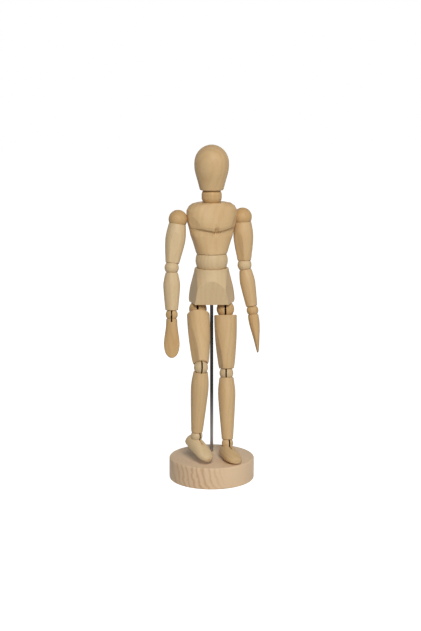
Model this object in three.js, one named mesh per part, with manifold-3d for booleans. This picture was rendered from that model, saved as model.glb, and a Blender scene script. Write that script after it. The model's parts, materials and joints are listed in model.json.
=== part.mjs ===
// Wooden artist mannequin on a round base, in millimetres, +Z up.
// The origin is the centre of the base's underside. The rod stands behind it, on +Y.
// Right and left are the figure's own: its right side lies on -X.
import * as THREE from 'three';
import { mergeVertices } from 'three/addons/utils/BufferGeometryUtils.js';
import Module from 'manifold-3d';

const wasm = await Module();
wasm.setup();

// Fits
const FIT = 0.3; // gap between a ball and its cup, and round other moving pieces
const PIN_FIT = 0.15; // gap round a pin in its hole
const WELD = 1e-4; // corners closer than this are one corner
const FLATNESS = 0.04; // corners that stand out by less are dropped
const EDGE = 0.5; // broken edge of a turned rim
const OVERCUT = 1; // a cut runs out past the surface it opens

// Stand
const BASE_R = 38.4;
const BASE_H = 19.7;
const BASE_EDGE = 1.4; // radius of the rounded edges
const ROD_R = 1.5;
const ROD_BACK = 15.35; // rod behind the base's centre
const ROD_IN_BASE = 14;
const ROD_IN_PELVIS = 13;

// Pins, wire and saw slots
const PIN_R = 0.9;
const PIN_END = 1.4; // wood between a pin's end and the ball's surface
const WIRE_R = 0.2;
const HOOK_R = PIN_R + FIT + WIRE_R;
const HOOK_SHIFT = 0.28; // two hooks sit side by side on one pin
const COIL_R = 1.5;
const BORE_FIT = 0.4; // gap round a spring in its bore
const BORE_R = COIL_R + WIRE_R + BORE_FIT;
const HOOK_PAST = 30; // a hook's wire runs on past its half turn, in degrees
const COIL_TURNS = 3;
const SLOT_W = 1.3;
const WIDE_SLOT_W = 1.8; // hips and shoulders
const WEB = 1.9; // wood left behind a ball's slot

// Head and neck
const HEAD_BOTTOM_R = 10.6;
const HEAD_MAX_R = 15.4;
const HEAD_JAW = 23.6; // flat bottom up to the widest line
const HEAD_CROWN = 16.4; // widest line up to the top
const HEAD_PIN_RISE = 9; // pin above the head's bottom
const HEAD_PIN_HALF = 6.5;
const TORSO_LEG = 5; // straight wire between a coil and its pin in the torso
const CHEEK_FLARE = 3.2; // how far and how high the jaw's taper runs straight
const CHEEK_RISE = 14;
const CHEEK_ROUND = 9; // height of the round into the widest line
const NECK_GAP = 5.4; // neck's centre above the chest, and the head's bottom above that
const NECK_R = 9.2;
const NECK_BELT_R = 9;

// Chest: share of its height, half width, front depth, back depth, roundness
const CHEST_H = 45.4;
const CHEST_RIM_R = 14;
const CHEST_SECTIONS = [
  [0, CHEST_RIM_R, CHEST_RIM_R, CHEST_RIM_R, 2],
  [0.115, 15.4, 13.2, 13.6, 2.1],
  [0.236, 17, 12.5, 13.2, 2.2],
  [0.346, 18.9, 12.6, 13, 2.3],
  [0.414, 19.6, 14, 13, 2.1],
  [0.458, 20.4, 16.2, 13, 2.1],
  [0.522, 21.3, 16.9, 13, 2.1],
  [0.621, 22.8, 16.6, 13.2, 2.1],
  [0.731, 23.4, 15.4, 13.2, 2.1],
  [0.852, 22.9, 13.4, 12.6, 2.2],
  [0.93, 20.8, 11.8, 11.6, 2.4],
  [0.98, 17.6, 10.6, 10.6, 2.3],
  [1, 13, 9.9, 9.9, 2.2],
];
const BREAST_DIP = 0.9; // hollow over the breastbone
const BREAST_DIP_WIDTH = 3.2;
const BREAST_DIP_LOW = 0.4; // shares of the chest's height
const BREAST_DIP_HIGH = 0.665;
const NECK_PIN_DROP = 7.6; // pin below the chest's top
const CHEST_PIN_RISE = 14.2; // pin above the chest's bottom
const TORSO_PIN_HALF = 6.5;
const TORSO_BORE_END = 2.8; // bore runs on past its pin

// Waist and pelvis
const WAIST_GAP = 6.7; // waist ball's centre above the pelvis, and the chest's bottom above that
const WAIST_R = 14.5;
const PELVIS_BOTTOM = 158.6; // above the table
const PELVIS_H = 31.8;
const PELVIS_TOP_R = 15.3;
// Pelvis: radius, share of its height
const PELVIS_OUTLINE = [
  [16.2, 0.846],
  [18.3, 0.626],
  [20.7, 0.406],
  [21.9, 0.201],
  [22, 0.075],
  [20.9, 0],
];
const PELVIS_SIDE = 18; // side flats from the axis, at the bottom
const PELVIS_SIDE_TOP = 15; // and at the top
const PELVIS_SIDE_TURN = 17; // side flats' turn towards the front, in degrees
const PELVIS_FLAT_TOP = 0.7; // front and back flats begin at this share of the height
const PELVIS_FLAT_TOP_Y = 17.7;
const PELVIS_FLAT_BOTTOM_Y = 12.6;
const PELVIS_PIN_RISE = 17.9; // pin above the pelvis's bottom
const PELVIS_PIN_HALF = 16;

// Arms
const SHOULDER_HALF = 30.1;
const SHOULDER_BACK = 3.5;
const SHOULDER_DROP = 14.6; // shoulders below the chest's top
const SHOULDER_R = 8.4;
const SHOULDER_SLOT_TURN = 45; // slot opens inwards and downwards, in degrees
const SHOULDER_LEG = 9; // straight wire between a coil and its pin
const ELBOW_LEG = 7;
const WRIST_LEG = 6;
const UPPER_ARM_L = 43.2; // shoulder to elbow
const UPPER_ARM_TOP = 4.1; // rim below the shoulder's centre
const UPPER_ARM_END = 3.7; // rim above the elbow's centre
const UPPER_ARM_STATIONS = [
  [7.4, 7.6, 0],
  [8.5, 8.9, 10],
  [8.2, 8.6, 19],
  [6.0, 6.1, 35.4],
];
const UPPER_ARM_FLAT = 4.7; // long flat on the inner side, depth at the elbow
const UPPER_ARM_FLAT_FROM = 12;
const UPPER_ARM_FLAT_TURN = -0.25; // flat's turn about the arm
const ELBOW_R = 6.4;
const FOREARM_L = 41.6;
const FOREARM_TOP = 4.1;
const FOREARM_END = 3.7;
const FOREARM_STATIONS = [
  [5.5, 5.5, 0],
  [7.3, 6.8, 9],
  [7.3, 6.7, 16],
  [5.7, 5.2, 33.8],
];
const WRIST_R = 5.4;
const WRIST_SLOT = 6.6; // slot below the wrist's centre
const WRIST_SLOT_BACK = 3; // slot behind the wrist's centre
const HAND_L = 38.6;
// Hand: height below the wrist, half width, palm depth, back depth
const HAND_SECTIONS = [
  [HAND_L, 1.1, 0.5, 0.7],
  [HAND_L - 0.9, 2.9, 0.7, 1.1],
  [HAND_L - 3.2, 5, 1, 1.7],
  [32, 6.3, 1.5, 2.3],
  [27, 7, 2, 3],
  [21.5, 6.7, 2.7, 3.7],
  [15.5, 5.6, 3.5, 4.3],
  [10.5, 4.8, 4.2, 4.7],
  [7.4, 4.5, 4.4, 4.5],
  [4, 4.5, 4.5, 4.5],
];

// Legs
const HIP_HALF = 12.4;
const HIP_DROP = 6; // hips below the pelvis
const HIP_R = 8;
const HIP_WEB = 5; // wood left behind a hip's slot
const HIP_TURNS = 2;
const PELVIS_LEG = 4; // straight wire between a coil and its pin
const HIP_LEG = 8;
const THIGH_LEG = 9;
const KNEE_LEG = 7;
const ANKLE_LEG = 6;
const THIGH_L = 57.6; // hip to knee
const THIGH_TOP = 5.2;
const THIGH_END = 3.9;
const THIGH_STATIONS = [
  [10.2, 10.2, 0],
  [10.1, 10.1, 12],
  [9.4, 9.4, 26],
  [7.9, 7.9, 42],
  [6.8, 6.8, 48.5],
];
const THIGH_FLAT = 4.6; // long flat, depth at the knee
const THIGH_FLAT_FROM = 19;
const THIGH_FLAT_TURN = 0.5; // flat's turn towards the front
const KNEE_R = 6.3;
const CALF_L = 63.2;
const CALF_TOP = 3.8;
const CALF_END = 3.4;
const CALF_STATIONS = [
  [6.4, 6.4, 0],
  [7.8, 7.8, 12],
  [7.3, 7.3, 26],
  [5.1, 5.1, 56],
];
const ANKLE_R = 5.2;
const ANKLE_SLOT = 3.4; // slot below the ankle's centre
const ANKLE_SLOT_BACK = 4; // slot behind the ankle's centre
const SOLE = 11.4; // sole below the ankle's centre
// Foot from heel to toe: distance forward, half width, top above the sole, roundness of the top
const FOOT_SECTIONS = [
  [-7.8, 2.8, 5.6, 2.2],
  [-7, 4.4, 7.4, 2.2],
  [-4.4, 5.7, 9.2, 2.2],
  [0, 6.4, 10.4, 2.2],
  [5.4, 6.9, 10.2, 2.2],
  [11.5, 7.4, 8.8, 2.3],
  [16.4, 7.3, 7.2, 2.4],
  [20.2, 6.2, 5.8, 2.4],
  [22.8, 4.3, 4.6, 2.3],
  [24, 1.9, 3.3, 2.2],
];
const SOLE_ROUND = 5;
const SOLE_LIP = 2; // foot's widest line above the sole

// Pose, in degrees
const CHEST_TURN = 17;
const RIGHT_ARM = { swing: 9.3, raise: 10.6, twist: 95, bend: 8, turn: -112, wrist: 0 };
const LEFT_ARM = { swing: 5.9, raise: 0.8, twist: 53, bend: 8, turn: -160.5, wrist: 3 };
const RIGHT_LEG = { spread: -3.7, swing: 36.9, twist: 11.5, bend: 39.5, turn: 32, toe: 20 };
const LEFT_LEG = { spread: 0.9, swing: 11, twist: -3, bend: 0, turn: 26, toe: 14 };

// Finishes
const WOOD = 0xd9b98c;
const WOOD_WARM = 0xd2ad7e;
const WOOD_PALE = 0xdfc29a;
const STEEL = 0x77777a;
const STEEL_DARK = 0x3c3a3a;
const WOOD_ROUGHNESS = 0.55;
const STEEL_ROUGHNESS = 0.35;
const STEEL_METALNESS = 0.9;

// Sides and rows of the round pieces
const RING = 14;
const LIMB_ROWS = 5;
const HEAD_ROWS = 5;
const BASE_RING = 48;
const ROD_RING = 12;
const BALL_RING = 14;
const BALL_ROWS = 8;
const BIG_RING = 22;
const BIG_ROWS = 12;
const BORE_RING = 8;
const WIRE_RING = 5;
const CURL_STEPS = 8;
const HOOK_STEPS = 5;

const degrees = THREE.MathUtils.degToRad;

// Closed solid from a geometry
function solid(geometry) {
  const bare = geometry.clone();
  bare.deleteAttribute('normal');
  bare.deleteAttribute('uv');
  const welded = mergeVertices(bare, WELD);
  const corners = welded.index.array;
  const kept = [];
  for (let i = 0; i < corners.length; i += 3) {
    const [a, b, c] = corners.slice(i, i + 3);
    if (a !== b && b !== c && c !== a) {
      kept.push(a, b, c);
    }
  }
  return new wasm.Manifold(new wasm.Mesh({
    numProp: 3,
    vertProperties: new Float32Array(welded.attributes.position.array),
    triVerts: new Uint32Array(kept),
  }));
}

function meshGeometry(body) {
  const mesh = body.getMesh();
  const geometry = new THREE.BufferGeometry();
  geometry.setAttribute('position', new THREE.BufferAttribute(new Float32Array(mesh.vertProperties), 3));
  geometry.setIndex(new THREE.BufferAttribute(new Uint32Array(mesh.triVerts), 1));
  geometry.computeVertexNormals();
  return geometry;
}

// Named piece of the figure, added to a group
function piece(parent, name, shape, color, metal = false) {
  const geometry = shape.isBufferGeometry ? shape : meshGeometry(shape.simplify(FLATNESS));
  const finish = new THREE.MeshStandardMaterial({
    color,
    roughness: metal ? STEEL_ROUGHNESS : WOOD_ROUGHNESS,
    metalness: metal ? STEEL_METALNESS : 0,
  });
  const mesh = new THREE.Mesh(geometry, finish);
  mesh.name = name;
  parent.add(mesh);
  return mesh;
}

function joint(parent, name, place, turn = [0, 0, 0]) {
  const group = new THREE.Group();
  group.name = name;
  group.position.set(...place);
  group.rotation.set(...turn.map(degrees));
  parent.add(group);
  return group;
}

// Turned piece from an outline of radius and height that starts and ends on the axis
function turned(outline, sides) {
  const points = outline.map(([r, z]) => new THREE.Vector2(r, z));
  return solid(new THREE.LatheGeometry(points, sides).rotateX(Math.PI / 2));
}

function sphere(radius, x, y, z, sides = BALL_RING, rows = BALL_ROWS) {
  return solid(new THREE.SphereGeometry(radius, sides, rows).rotateX(Math.PI / 2).translate(x, y, z));
}

// Cup for a ball, its flat faces clear of the ball by the fit
function cup(ball, x, y, z, sides = BALL_RING, rows = BALL_ROWS) {
  const faces = Math.cos(Math.PI / sides) * Math.cos(Math.PI / (2 * rows));
  return sphere((ball + FIT) / faces, x, y, z, sides, rows);
}

// Round bar along Z between two heights
function bar(radius, x, y, low, high, sides = BORE_RING) {
  const geometry = new THREE.CylinderGeometry(radius, radius, high - low, sides);
  return solid(geometry.rotateX(Math.PI / 2).translate(x, y, (low + high) / 2));
}

// Round bar along X or Y about a point
function crossBar(radius, half, along, x, y, z) {
  const geometry = new THREE.CylinderGeometry(radius, radius, 2 * half, BORE_RING);
  if (along === 'x') {
    geometry.rotateZ(Math.PI / 2);
  }
  return solid(geometry.translate(x, y, z));
}

function block(x0, x1, y0, y1, z0, z1) {
  const geometry = new THREE.BoxGeometry(x1 - x0, y1 - y0, z1 - z0);
  return solid(geometry.translate((x0 + x1) / 2, (y0 + y1) / 2, (z0 + z1) / 2));
}

// Skin over rings of oval sections, lowest first: height, half width, front, back, front and back roundness
function lofted(sections, sides, dent = () => 0) {
  const positions = [];
  for (const [z, half, front, back, frontRound, backRound] of sections) {
    for (let i = 0; i < sides; i += 1) {
      const angle = (2 * Math.PI * i) / sides;
      const c = Math.cos(angle);
      const s = Math.sin(angle);
      const round = s < 0 ? frontRound : backRound;
      const x = half * Math.sign(c) * Math.abs(c) ** (2 / round);
      const depth = s < 0 ? front - dent(x, z) : back;
      positions.push(x, depth * Math.sign(s) * Math.abs(s) ** (2 / round), z);
    }
  }
  const last = (sections.length - 1) * sides;
  positions.push(0, 0, sections[0][0], 0, 0, sections[sections.length - 1][0]);
  const low = last + sides;
  const index = [];
  for (let i = 0; i < sides; i += 1) {
    const next = (i + 1) % sides;
    for (let row = 0; row < last; row += sides) {
      index.push(row + i, row + next, row + sides + next, row + i, row + sides + next, row + sides + i);
    }
    index.push(low, next, i, low + 1, last + i, last + next);
  }
  const geometry = new THREE.BufferGeometry();
  geometry.setAttribute('position', new THREE.Float32BufferAttribute(positions, 3));
  geometry.setIndex(index);
  return geometry;
}

// Limb from stations of half width, half depth and distance below its upper rim
function limb(stations, top, length, end, upperBall, lowerBall) {
  const curve = new THREE.CatmullRomCurve3(stations.map((s) => new THREE.Vector3(...s)));
  const rings = curve.getPoints(LIMB_ROWS).map((p) => [-top - p.z, p.x, p.y, p.y, 2, 2]);
  const [first] = rings;
  const final = rings[rings.length - 1];
  rings[0] = [first[0] - EDGE, ...first.slice(1)];
  rings[rings.length - 1] = [-(length - end) + EDGE, ...final.slice(1)];
  rings.unshift([first[0], first[1] - EDGE, first[2] - EDGE, first[3] - EDGE, 2, 2]);
  rings.push([-(length - end), final[1] - EDGE, final[2] - EDGE, final[3] - EDGE, 2, 2]);
  return solid(lofted(rings.reverse(), RING))
    .subtract(cup(upperBall, 0, 0, 0))
    .subtract(cup(lowerBall, 0, 0, -length))
    .subtract(bar(BORE_R, 0, 0, -length, 0));
}

// Slanting cut down one side of a limb, leaving a flat that deepens towards the lower end
function sideFlat(width, from, depth, length, turn) {
  const cut = new THREE.BoxGeometry(2 * width, 4 * width, 2 * length);
  const slope = Math.atan2(width - depth, length - from);
  cut.translate(-width, 0, -length);
  cut.rotateY(-slope);
  cut.translate(-width, 0, -from);
  cut.rotateZ(turn);
  return solid(cut);
}

// Joint ball with its saw slot open to the front and a hole for its pin along X
function jointBall(radius, slot = SLOT_W, web = WEB) {
  const hole = radius - PIN_END + PIN_FIT;
  const out = radius + OVERCUT;
  return sphere(radius, 0, 0, 0)
    .subtract(block(-slot / 2, slot / 2, -out, radius - web, -out, out))
    .subtract(crossBar(PIN_R + PIN_FIT, hole, 'x', 0, 0, 0));
}

function pin(half, along, x = 0, y = 0, z = 0) {
  return crossBar(PIN_R, half, along, x, y, z);
}

let leastCoilGap = Infinity;

// Least gap between two stretches of one wire, at least a third of a curl apart along it
function measureWire(points) {
  const apart = Math.ceil(CURL_STEPS / 3);
  for (let i = 0; i < points.length; i += 1) {
    for (let j = i + apart; j < points.length; j += 1) {
      leastCoilGap = Math.min(leastCoilGap, points[i].distanceTo(points[j]) - 2 * WIRE_R);
    }
  }
}

// Round wire along a line of points, closed at both ends
function wire(points) {
  const positions = [];
  const index = [];
  const last = points.length - 1;
  const across = new THREE.Vector3();
  let before = null;
  for (let i = 0; i <= last; i += 1) {
    const along = points[Math.min(i + 1, last)].clone().sub(points[Math.max(i - 1, 0)]).normalize();
    if (before === null) {
      across.set(-along.y, along.z, along.x).cross(along).normalize();
    } else {
      across.applyQuaternion(new THREE.Quaternion().setFromUnitVectors(before, along));
      across.addScaledVector(along, -across.dot(along)).normalize();
    }
    before = along;
    const other = along.clone().cross(across);
    for (let k = 0; k < WIRE_RING; k += 1) {
      const angle = (2 * Math.PI * k) / WIRE_RING;
      const corner = points[i].clone();
      corner.addScaledVector(across, WIRE_R * Math.cos(angle));
      corner.addScaledVector(other, WIRE_R * Math.sin(angle));
      positions.push(...corner.toArray());
    }
  }
  const end = last * WIRE_RING;
  for (let k = 0; k < WIRE_RING; k += 1) {
    const next = (k + 1) % WIRE_RING;
    for (let row = 0; row < end; row += WIRE_RING) {
      const above = row + WIRE_RING;
      index.push(row + k, row + next, above + next, row + k, above + next, above + k);
    }
    if (k > 0 && next > 0) {
      index.push(0, next, k, end, end + k, end + next);
    }
  }
  const geometry = new THREE.BufferGeometry();
  geometry.setAttribute('position', new THREE.Float32BufferAttribute(positions, 3));
  geometry.setIndex(index);
  return geometry;
}

// Extension spring hooked over a pin at each end, hanging down Z from the upper pin's centre.
// A pin's turn is its direction about Z, and a shift moves a hook along its pin.
function spring(length, upper, lower, turns) {
  const up = new THREE.Vector3(0, 0, 1);
  const points = [];
  const hook = (end, z, from, to) => {
    const along = new THREE.Vector3(Math.cos(end.turn), Math.sin(end.turn), 0);
    const side = new THREE.Vector3(-Math.sin(end.turn), Math.cos(end.turn), 0);
    for (let i = 0; i <= HOOK_STEPS; i += 1) {
      const angle = degrees(from + ((to - from) * i) / HOOK_STEPS);
      const point = new THREE.Vector3(0, 0, z);
      point.addScaledVector(side, HOOK_R * Math.cos(angle));
      point.addScaledVector(up, HOOK_R * Math.sin(angle));
      points.push(point.addScaledVector(along, end.shift));
    }
  };
  hook(upper, 0, -HOOK_PAST, 180);
  const start = upper.turn - Math.PI / 2;
  const sweep = lower.turn - upper.turn + 2 * Math.PI * turns;
  const steps = CURL_STEPS * turns;
  const coilTop = -upper.leg;
  const coilEnd = lower.leg - length;
  for (let i = 0; i <= steps; i += 1) {
    const angle = start + (sweep * i) / steps;
    const z = coilTop + ((coilEnd - coilTop) * i) / steps;
    points.push(new THREE.Vector3(COIL_R * Math.cos(angle), COIL_R * Math.sin(angle), z));
  }
  hook(lower, -length, 180, 360 + HOOK_PAST);
  measureWire(points);
  return wire(points);
}

const QUARTER = Math.PI / 2;

// Heights above the table: each piece of the torso stands on the one below it
const HIP_Z = PELVIS_BOTTOM - HIP_DROP;
const PELVIS_PIN_Z = PELVIS_BOTTOM + PELVIS_PIN_RISE;
const PELVIS_TOP = PELVIS_BOTTOM + PELVIS_H;
const WAIST_Z = PELVIS_TOP + WAIST_GAP;
const CHEST_BOTTOM = WAIST_Z + WAIST_GAP;
const CHEST_PIN_Z = CHEST_BOTTOM + CHEST_PIN_RISE;
const CHEST_TOP = CHEST_BOTTOM + CHEST_H;
const SHOULDER_Z = CHEST_TOP - SHOULDER_DROP;
const NECK_PIN_Z = CHEST_TOP - NECK_PIN_DROP;
const NECK_Z = CHEST_TOP + NECK_GAP;
const HEAD_BOTTOM = NECK_Z + NECK_GAP;
const HEAD_PIN_Z = HEAD_BOTTOM + HEAD_PIN_RISE;
const HEAD_MAX_Z = HEAD_BOTTOM + HEAD_JAW;
const HEAD_TOP = HEAD_MAX_Z + HEAD_CROWN;

const mannequin = new THREE.Group();
mannequin.name = 'mannequin';

// Base and rod
const rodFoot = BASE_H - ROD_IN_BASE;
const edgeMid = BASE_EDGE * (1 - Math.SQRT1_2); // middle of a rounded edge
const baseBody = turned([
  [0, 0],
  [BASE_R - BASE_EDGE, 0],
  [BASE_R - edgeMid, edgeMid],
  [BASE_R, BASE_EDGE],
  [BASE_R, BASE_H - BASE_EDGE],
  [BASE_R - edgeMid, BASE_H - edgeMid],
  [BASE_R - BASE_EDGE, BASE_H],
  [0, BASE_H],
], BASE_RING);
const rodHole = bar(ROD_R + FIT, 0, ROD_BACK, rodFoot, BASE_H + OVERCUT);
piece(mannequin, 'base', baseBody.subtract(rodHole), WOOD_PALE);
const turnTable = joint(mannequin, 'figure_turn', [0, ROD_BACK, 0]);
const rodTop = PELVIS_BOTTOM + ROD_IN_PELVIS;
piece(turnTable, 'rod', bar(ROD_R, 0, 0, rodFoot + FIT, rodTop - FIT, ROD_RING), STEEL_DARK, true);

// Pelvis: a turned block cut flat at both sides, and slanting at front and back
const pelvisGroup = joint(turnTable, 'figure_lift', [0, 0, 0]);
const pelvisRim = [
  [0, PELVIS_TOP],
  [PELVIS_TOP_R - EDGE, PELVIS_TOP],
  [PELVIS_TOP_R, PELVIS_TOP - EDGE],
];
const pelvisWall = PELVIS_OUTLINE.map(([radius, share]) => [radius, PELVIS_BOTTOM + share * PELVIS_H]);
let pelvis = turned([...pelvisRim, ...pelvisWall, [0, PELVIS_BOTTOM]].reverse(), BIG_RING);
const reach = 2 * PELVIS_SIDE;
const sideSlope = Math.atan2(PELVIS_SIDE - PELVIS_SIDE_TOP, PELVIS_H);
for (const side of [-1, 1]) {
  const cut = new THREE.BoxGeometry(reach, 2 * reach, 4 * reach);
  cut.translate((side * reach) / 2, 0, 0);
  cut.rotateY(-side * sideSlope);
  cut.translate(side * PELVIS_SIDE, 0, PELVIS_BOTTOM);
  cut.rotateZ(-side * degrees(PELVIS_SIDE_TURN));
  pelvis = pelvis.subtract(solid(cut));
}
const flatSlope = Math.atan2(PELVIS_FLAT_TOP_Y - PELVIS_FLAT_BOTTOM_Y, PELVIS_FLAT_TOP * PELVIS_H);
for (const facing of [-1, 1]) {
  const cut = new THREE.BoxGeometry(2 * reach, reach, 2 * reach);
  cut.translate(0, (facing * reach) / 2, 0);
  cut.rotateX(-facing * flatSlope);
  cut.translate(0, facing * PELVIS_FLAT_BOTTOM_Y, PELVIS_BOTTOM);
  pelvis = pelvis.subtract(solid(cut));
}
pelvis = pelvis
  .subtract(cup(WAIST_R, 0, 0, WAIST_Z, BIG_RING, BIG_ROWS))
  .subtract(bar(BORE_R, 0, 0, PELVIS_PIN_Z - TORSO_BORE_END, WAIST_Z))
  .subtract(bar(ROD_R + FIT, 0, 0, PELVIS_BOTTOM - OVERCUT, rodTop, ROD_RING))
  .subtract(crossBar(PIN_R + PIN_FIT, PELVIS_PIN_HALF + PIN_FIT, 'x', 0, 0, PELVIS_PIN_Z));
for (const side of [-1, 1]) {
  pelvis = pelvis
    .subtract(cup(HIP_R, side * HIP_HALF, 0, HIP_Z))
    .subtract(bar(BORE_R, side * HIP_HALF, 0, HIP_Z, PELVIS_PIN_Z + TORSO_BORE_END));
}
piece(pelvisGroup, 'pelvis', pelvis, WOOD);
piece(pelvisGroup, 'pelvis_pin', pin(PELVIS_PIN_HALF, 'x', 0, 0, PELVIS_PIN_Z), STEEL, true);

// Waist ball and the spring through it
const acrossX = (shift, leg) => ({ turn: 0, shift, leg });
const acrossY = (shift, leg) => ({ turn: QUARTER, shift, leg });
const torsoEnd = acrossX(0, TORSO_LEG);
const waistTilt = joint(pelvisGroup, 'waist_tilt', [0, 0, WAIST_Z]);
const chestEnd = { turn: degrees(CHEST_TURN), shift: 0, leg: TORSO_LEG };
const waistSpring = spring(CHEST_PIN_Z - PELVIS_PIN_Z, chestEnd, torsoEnd, COIL_TURNS);
piece(waistTilt, 'waist_spring', waistSpring.translate(0, 0, CHEST_PIN_Z - WAIST_Z), STEEL, true);
const waistBend = joint(waistTilt, 'waist_bend', [0, 0, 0]);
const waistOut = WAIST_R + OVERCUT;
const waistBall = sphere(WAIST_R, 0, 0, 0, BIG_RING, BIG_ROWS);
piece(waistBend, 'waist_ball', waistBall.subtract(bar(BORE_R, 0, 0, -waistOut, waistOut)), WOOD_PALE);
const chestGroup = joint(waistBend, 'waist_turn', [0, 0, 0], [0, 0, CHEST_TURN]);

// Chest, drawn at its own height and set down on the waist ball
const dip = (x, z) => {
  const share = (z - CHEST_BOTTOM) / CHEST_H;
  const inBand = share > BREAST_DIP_LOW && share < BREAST_DIP_HIGH;
  return inBand ? BREAST_DIP * Math.exp(-((x / BREAST_DIP_WIDTH) ** 2)) : 0;
};
const chestRings = CHEST_SECTIONS.map(([share, half, front, back, round]) => {
  return [CHEST_BOTTOM + share * CHEST_H, half, front, back, round, round];
});
let chest = solid(lofted(chestRings, BIG_RING, dip))
  .subtract(cup(WAIST_R, 0, 0, WAIST_Z, BIG_RING, BIG_ROWS))
  .subtract(cup(NECK_R, 0, 0, NECK_Z))
  .subtract(bar(BORE_R, 0, 0, WAIST_Z, CHEST_PIN_Z + TORSO_BORE_END))
  .subtract(bar(BORE_R, 0, 0, NECK_PIN_Z - TORSO_BORE_END, NECK_Z))
  .subtract(crossBar(BORE_R, SHOULDER_HALF, 'x', 0, SHOULDER_BACK, SHOULDER_Z));
for (const height of [NECK_PIN_Z, CHEST_PIN_Z]) {
  chest = chest.subtract(crossBar(PIN_R + PIN_FIT, TORSO_PIN_HALF + PIN_FIT, 'x', 0, 0, height));
}
for (const side of [-1, 1]) {
  chest = chest.subtract(cup(SHOULDER_R, side * SHOULDER_HALF, SHOULDER_BACK, SHOULDER_Z));
}
piece(chestGroup, 'chest', chest.translate([0, 0, -WAIST_Z]), WOOD);
piece(chestGroup, 'chest_waist_pin', pin(TORSO_PIN_HALF, 'x', 0, 0, CHEST_PIN_Z - WAIST_Z), STEEL, true);
piece(chestGroup, 'chest_neck_pin', pin(TORSO_PIN_HALF, 'x', 0, 0, NECK_PIN_Z - WAIST_Z), STEEL, true);
const crossEnds = [LEFT_ARM, RIGHT_ARM].map((pose) => {
  return { turn: QUARTER - degrees(pose.swing), shift: HOOK_SHIFT, leg: SHOULDER_LEG };
});
const shoulderSpring = spring(2 * SHOULDER_HALF, ...crossEnds, COIL_TURNS);
shoulderSpring.rotateY(QUARTER);
shoulderSpring.translate(SHOULDER_HALF, SHOULDER_BACK, SHOULDER_Z - WAIST_Z);
piece(chestGroup, 'shoulder_spring', shoulderSpring, STEEL, true);

// Neck and head
const neckTilt = joint(chestGroup, 'neck_tilt', [0, 0, NECK_Z - WAIST_Z]);
const neckSpring = spring(HEAD_PIN_Z - NECK_PIN_Z, torsoEnd, torsoEnd, COIL_TURNS);
piece(neckTilt, 'neck_spring', neckSpring.translate(0, 0, HEAD_PIN_Z - NECK_Z), STEEL, true);
const neckNod = joint(neckTilt, 'neck_nod', [0, 0, 0]);
const neckBelt = bar(NECK_BELT_R, 0, 0, -NECK_R, NECK_R, BALL_RING);
const neckBody = sphere(NECK_R, 0, 0, 0).intersect(neckBelt);
piece(neckNod, 'neck', neckBody.subtract(bar(BORE_R, 0, 0, -NECK_R, NECK_R)), WOOD_WARM);
const headGroup = joint(neckNod, 'head_turn', [0, 0, 0]);
const headOutline = [
  [0, HEAD_BOTTOM],
  [HEAD_BOTTOM_R - EDGE, HEAD_BOTTOM],
  [HEAD_BOTTOM_R, HEAD_BOTTOM + EDGE],
];
const cheek = new THREE.CubicBezierCurve(
  new THREE.Vector2(HEAD_BOTTOM_R, HEAD_BOTTOM + EDGE),
  new THREE.Vector2(HEAD_BOTTOM_R + CHEEK_FLARE, HEAD_BOTTOM + CHEEK_RISE),
  new THREE.Vector2(HEAD_MAX_R, HEAD_MAX_Z - CHEEK_ROUND),
  new THREE.Vector2(HEAD_MAX_R, HEAD_MAX_Z),
);
const crown = new THREE.EllipseCurve(0, HEAD_MAX_Z, HEAD_MAX_R, HEAD_TOP - HEAD_MAX_Z, 0, QUARTER);
for (const curve of [cheek, crown]) {
  for (const point of curve.getPoints(HEAD_ROWS).slice(1)) {
    headOutline.push([Math.max(point.x, 0), point.y]);
  }
}
headOutline[headOutline.length - 1] = [0, HEAD_TOP];
const head = turned(headOutline, BIG_RING)
  .subtract(cup(NECK_R, 0, 0, NECK_Z))
  .subtract(bar(BORE_R, 0, 0, NECK_Z, HEAD_PIN_Z + TORSO_BORE_END))
  .subtract(crossBar(PIN_R + PIN_FIT, HEAD_PIN_HALF + PIN_FIT, 'x', 0, 0, HEAD_PIN_Z));
piece(headGroup, 'head', head.translate([0, 0, -NECK_Z]), WOOD);
piece(headGroup, 'head_pin', pin(HEAD_PIN_HALF, 'x', 0, 0, HEAD_PIN_Z - NECK_Z), STEEL, true);

// Saw slot of a wrist or ankle, open at the top and the front
function endSlot(radius, depth, back) {
  return block(-SLOT_W / 2, SLOT_W / 2, -2 * radius, back, -depth, radius + OVERCUT);
}

// Hand: a wrist ball and a paddle that thins to the fingertips, hanging down Z
function handShape() {
  const rings = HAND_SECTIONS.map(([z, half, palm, back]) => [-z, half, palm, back, 2, 2]);
  return solid(lofted(rings, RING))
    .add(sphere(WRIST_R, 0, 0, 0))
    .subtract(endSlot(WRIST_R, WRIST_SLOT, WRIST_SLOT_BACK))
    .subtract(crossBar(PIN_R + PIN_FIT, WRIST_R - PIN_END + PIN_FIT, 'x', 0, 0, 0));
}

// Foot: an ankle ball on a block with a flat sole, pointing forward on -Y
function footShape() {
  const rings = FOOT_SECTIONS.map(([y, half, rise, round]) => {
    return [y, half, SOLE_LIP, rise - SOLE_LIP, SOLE_ROUND, round];
  });
  return solid(lofted(rings, RING).rotateX(QUARTER).translate(0, 0, SOLE_LIP - SOLE))
    .add(sphere(ANKLE_R, 0, 0, 0))
    .subtract(endSlot(ANKLE_R, ANKLE_SLOT, ANKLE_SLOT_BACK))
    .subtract(crossBar(PIN_R + PIN_FIT, ANKLE_R - PIN_END + PIN_FIT, 'x', 0, 0, 0));
}

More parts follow.
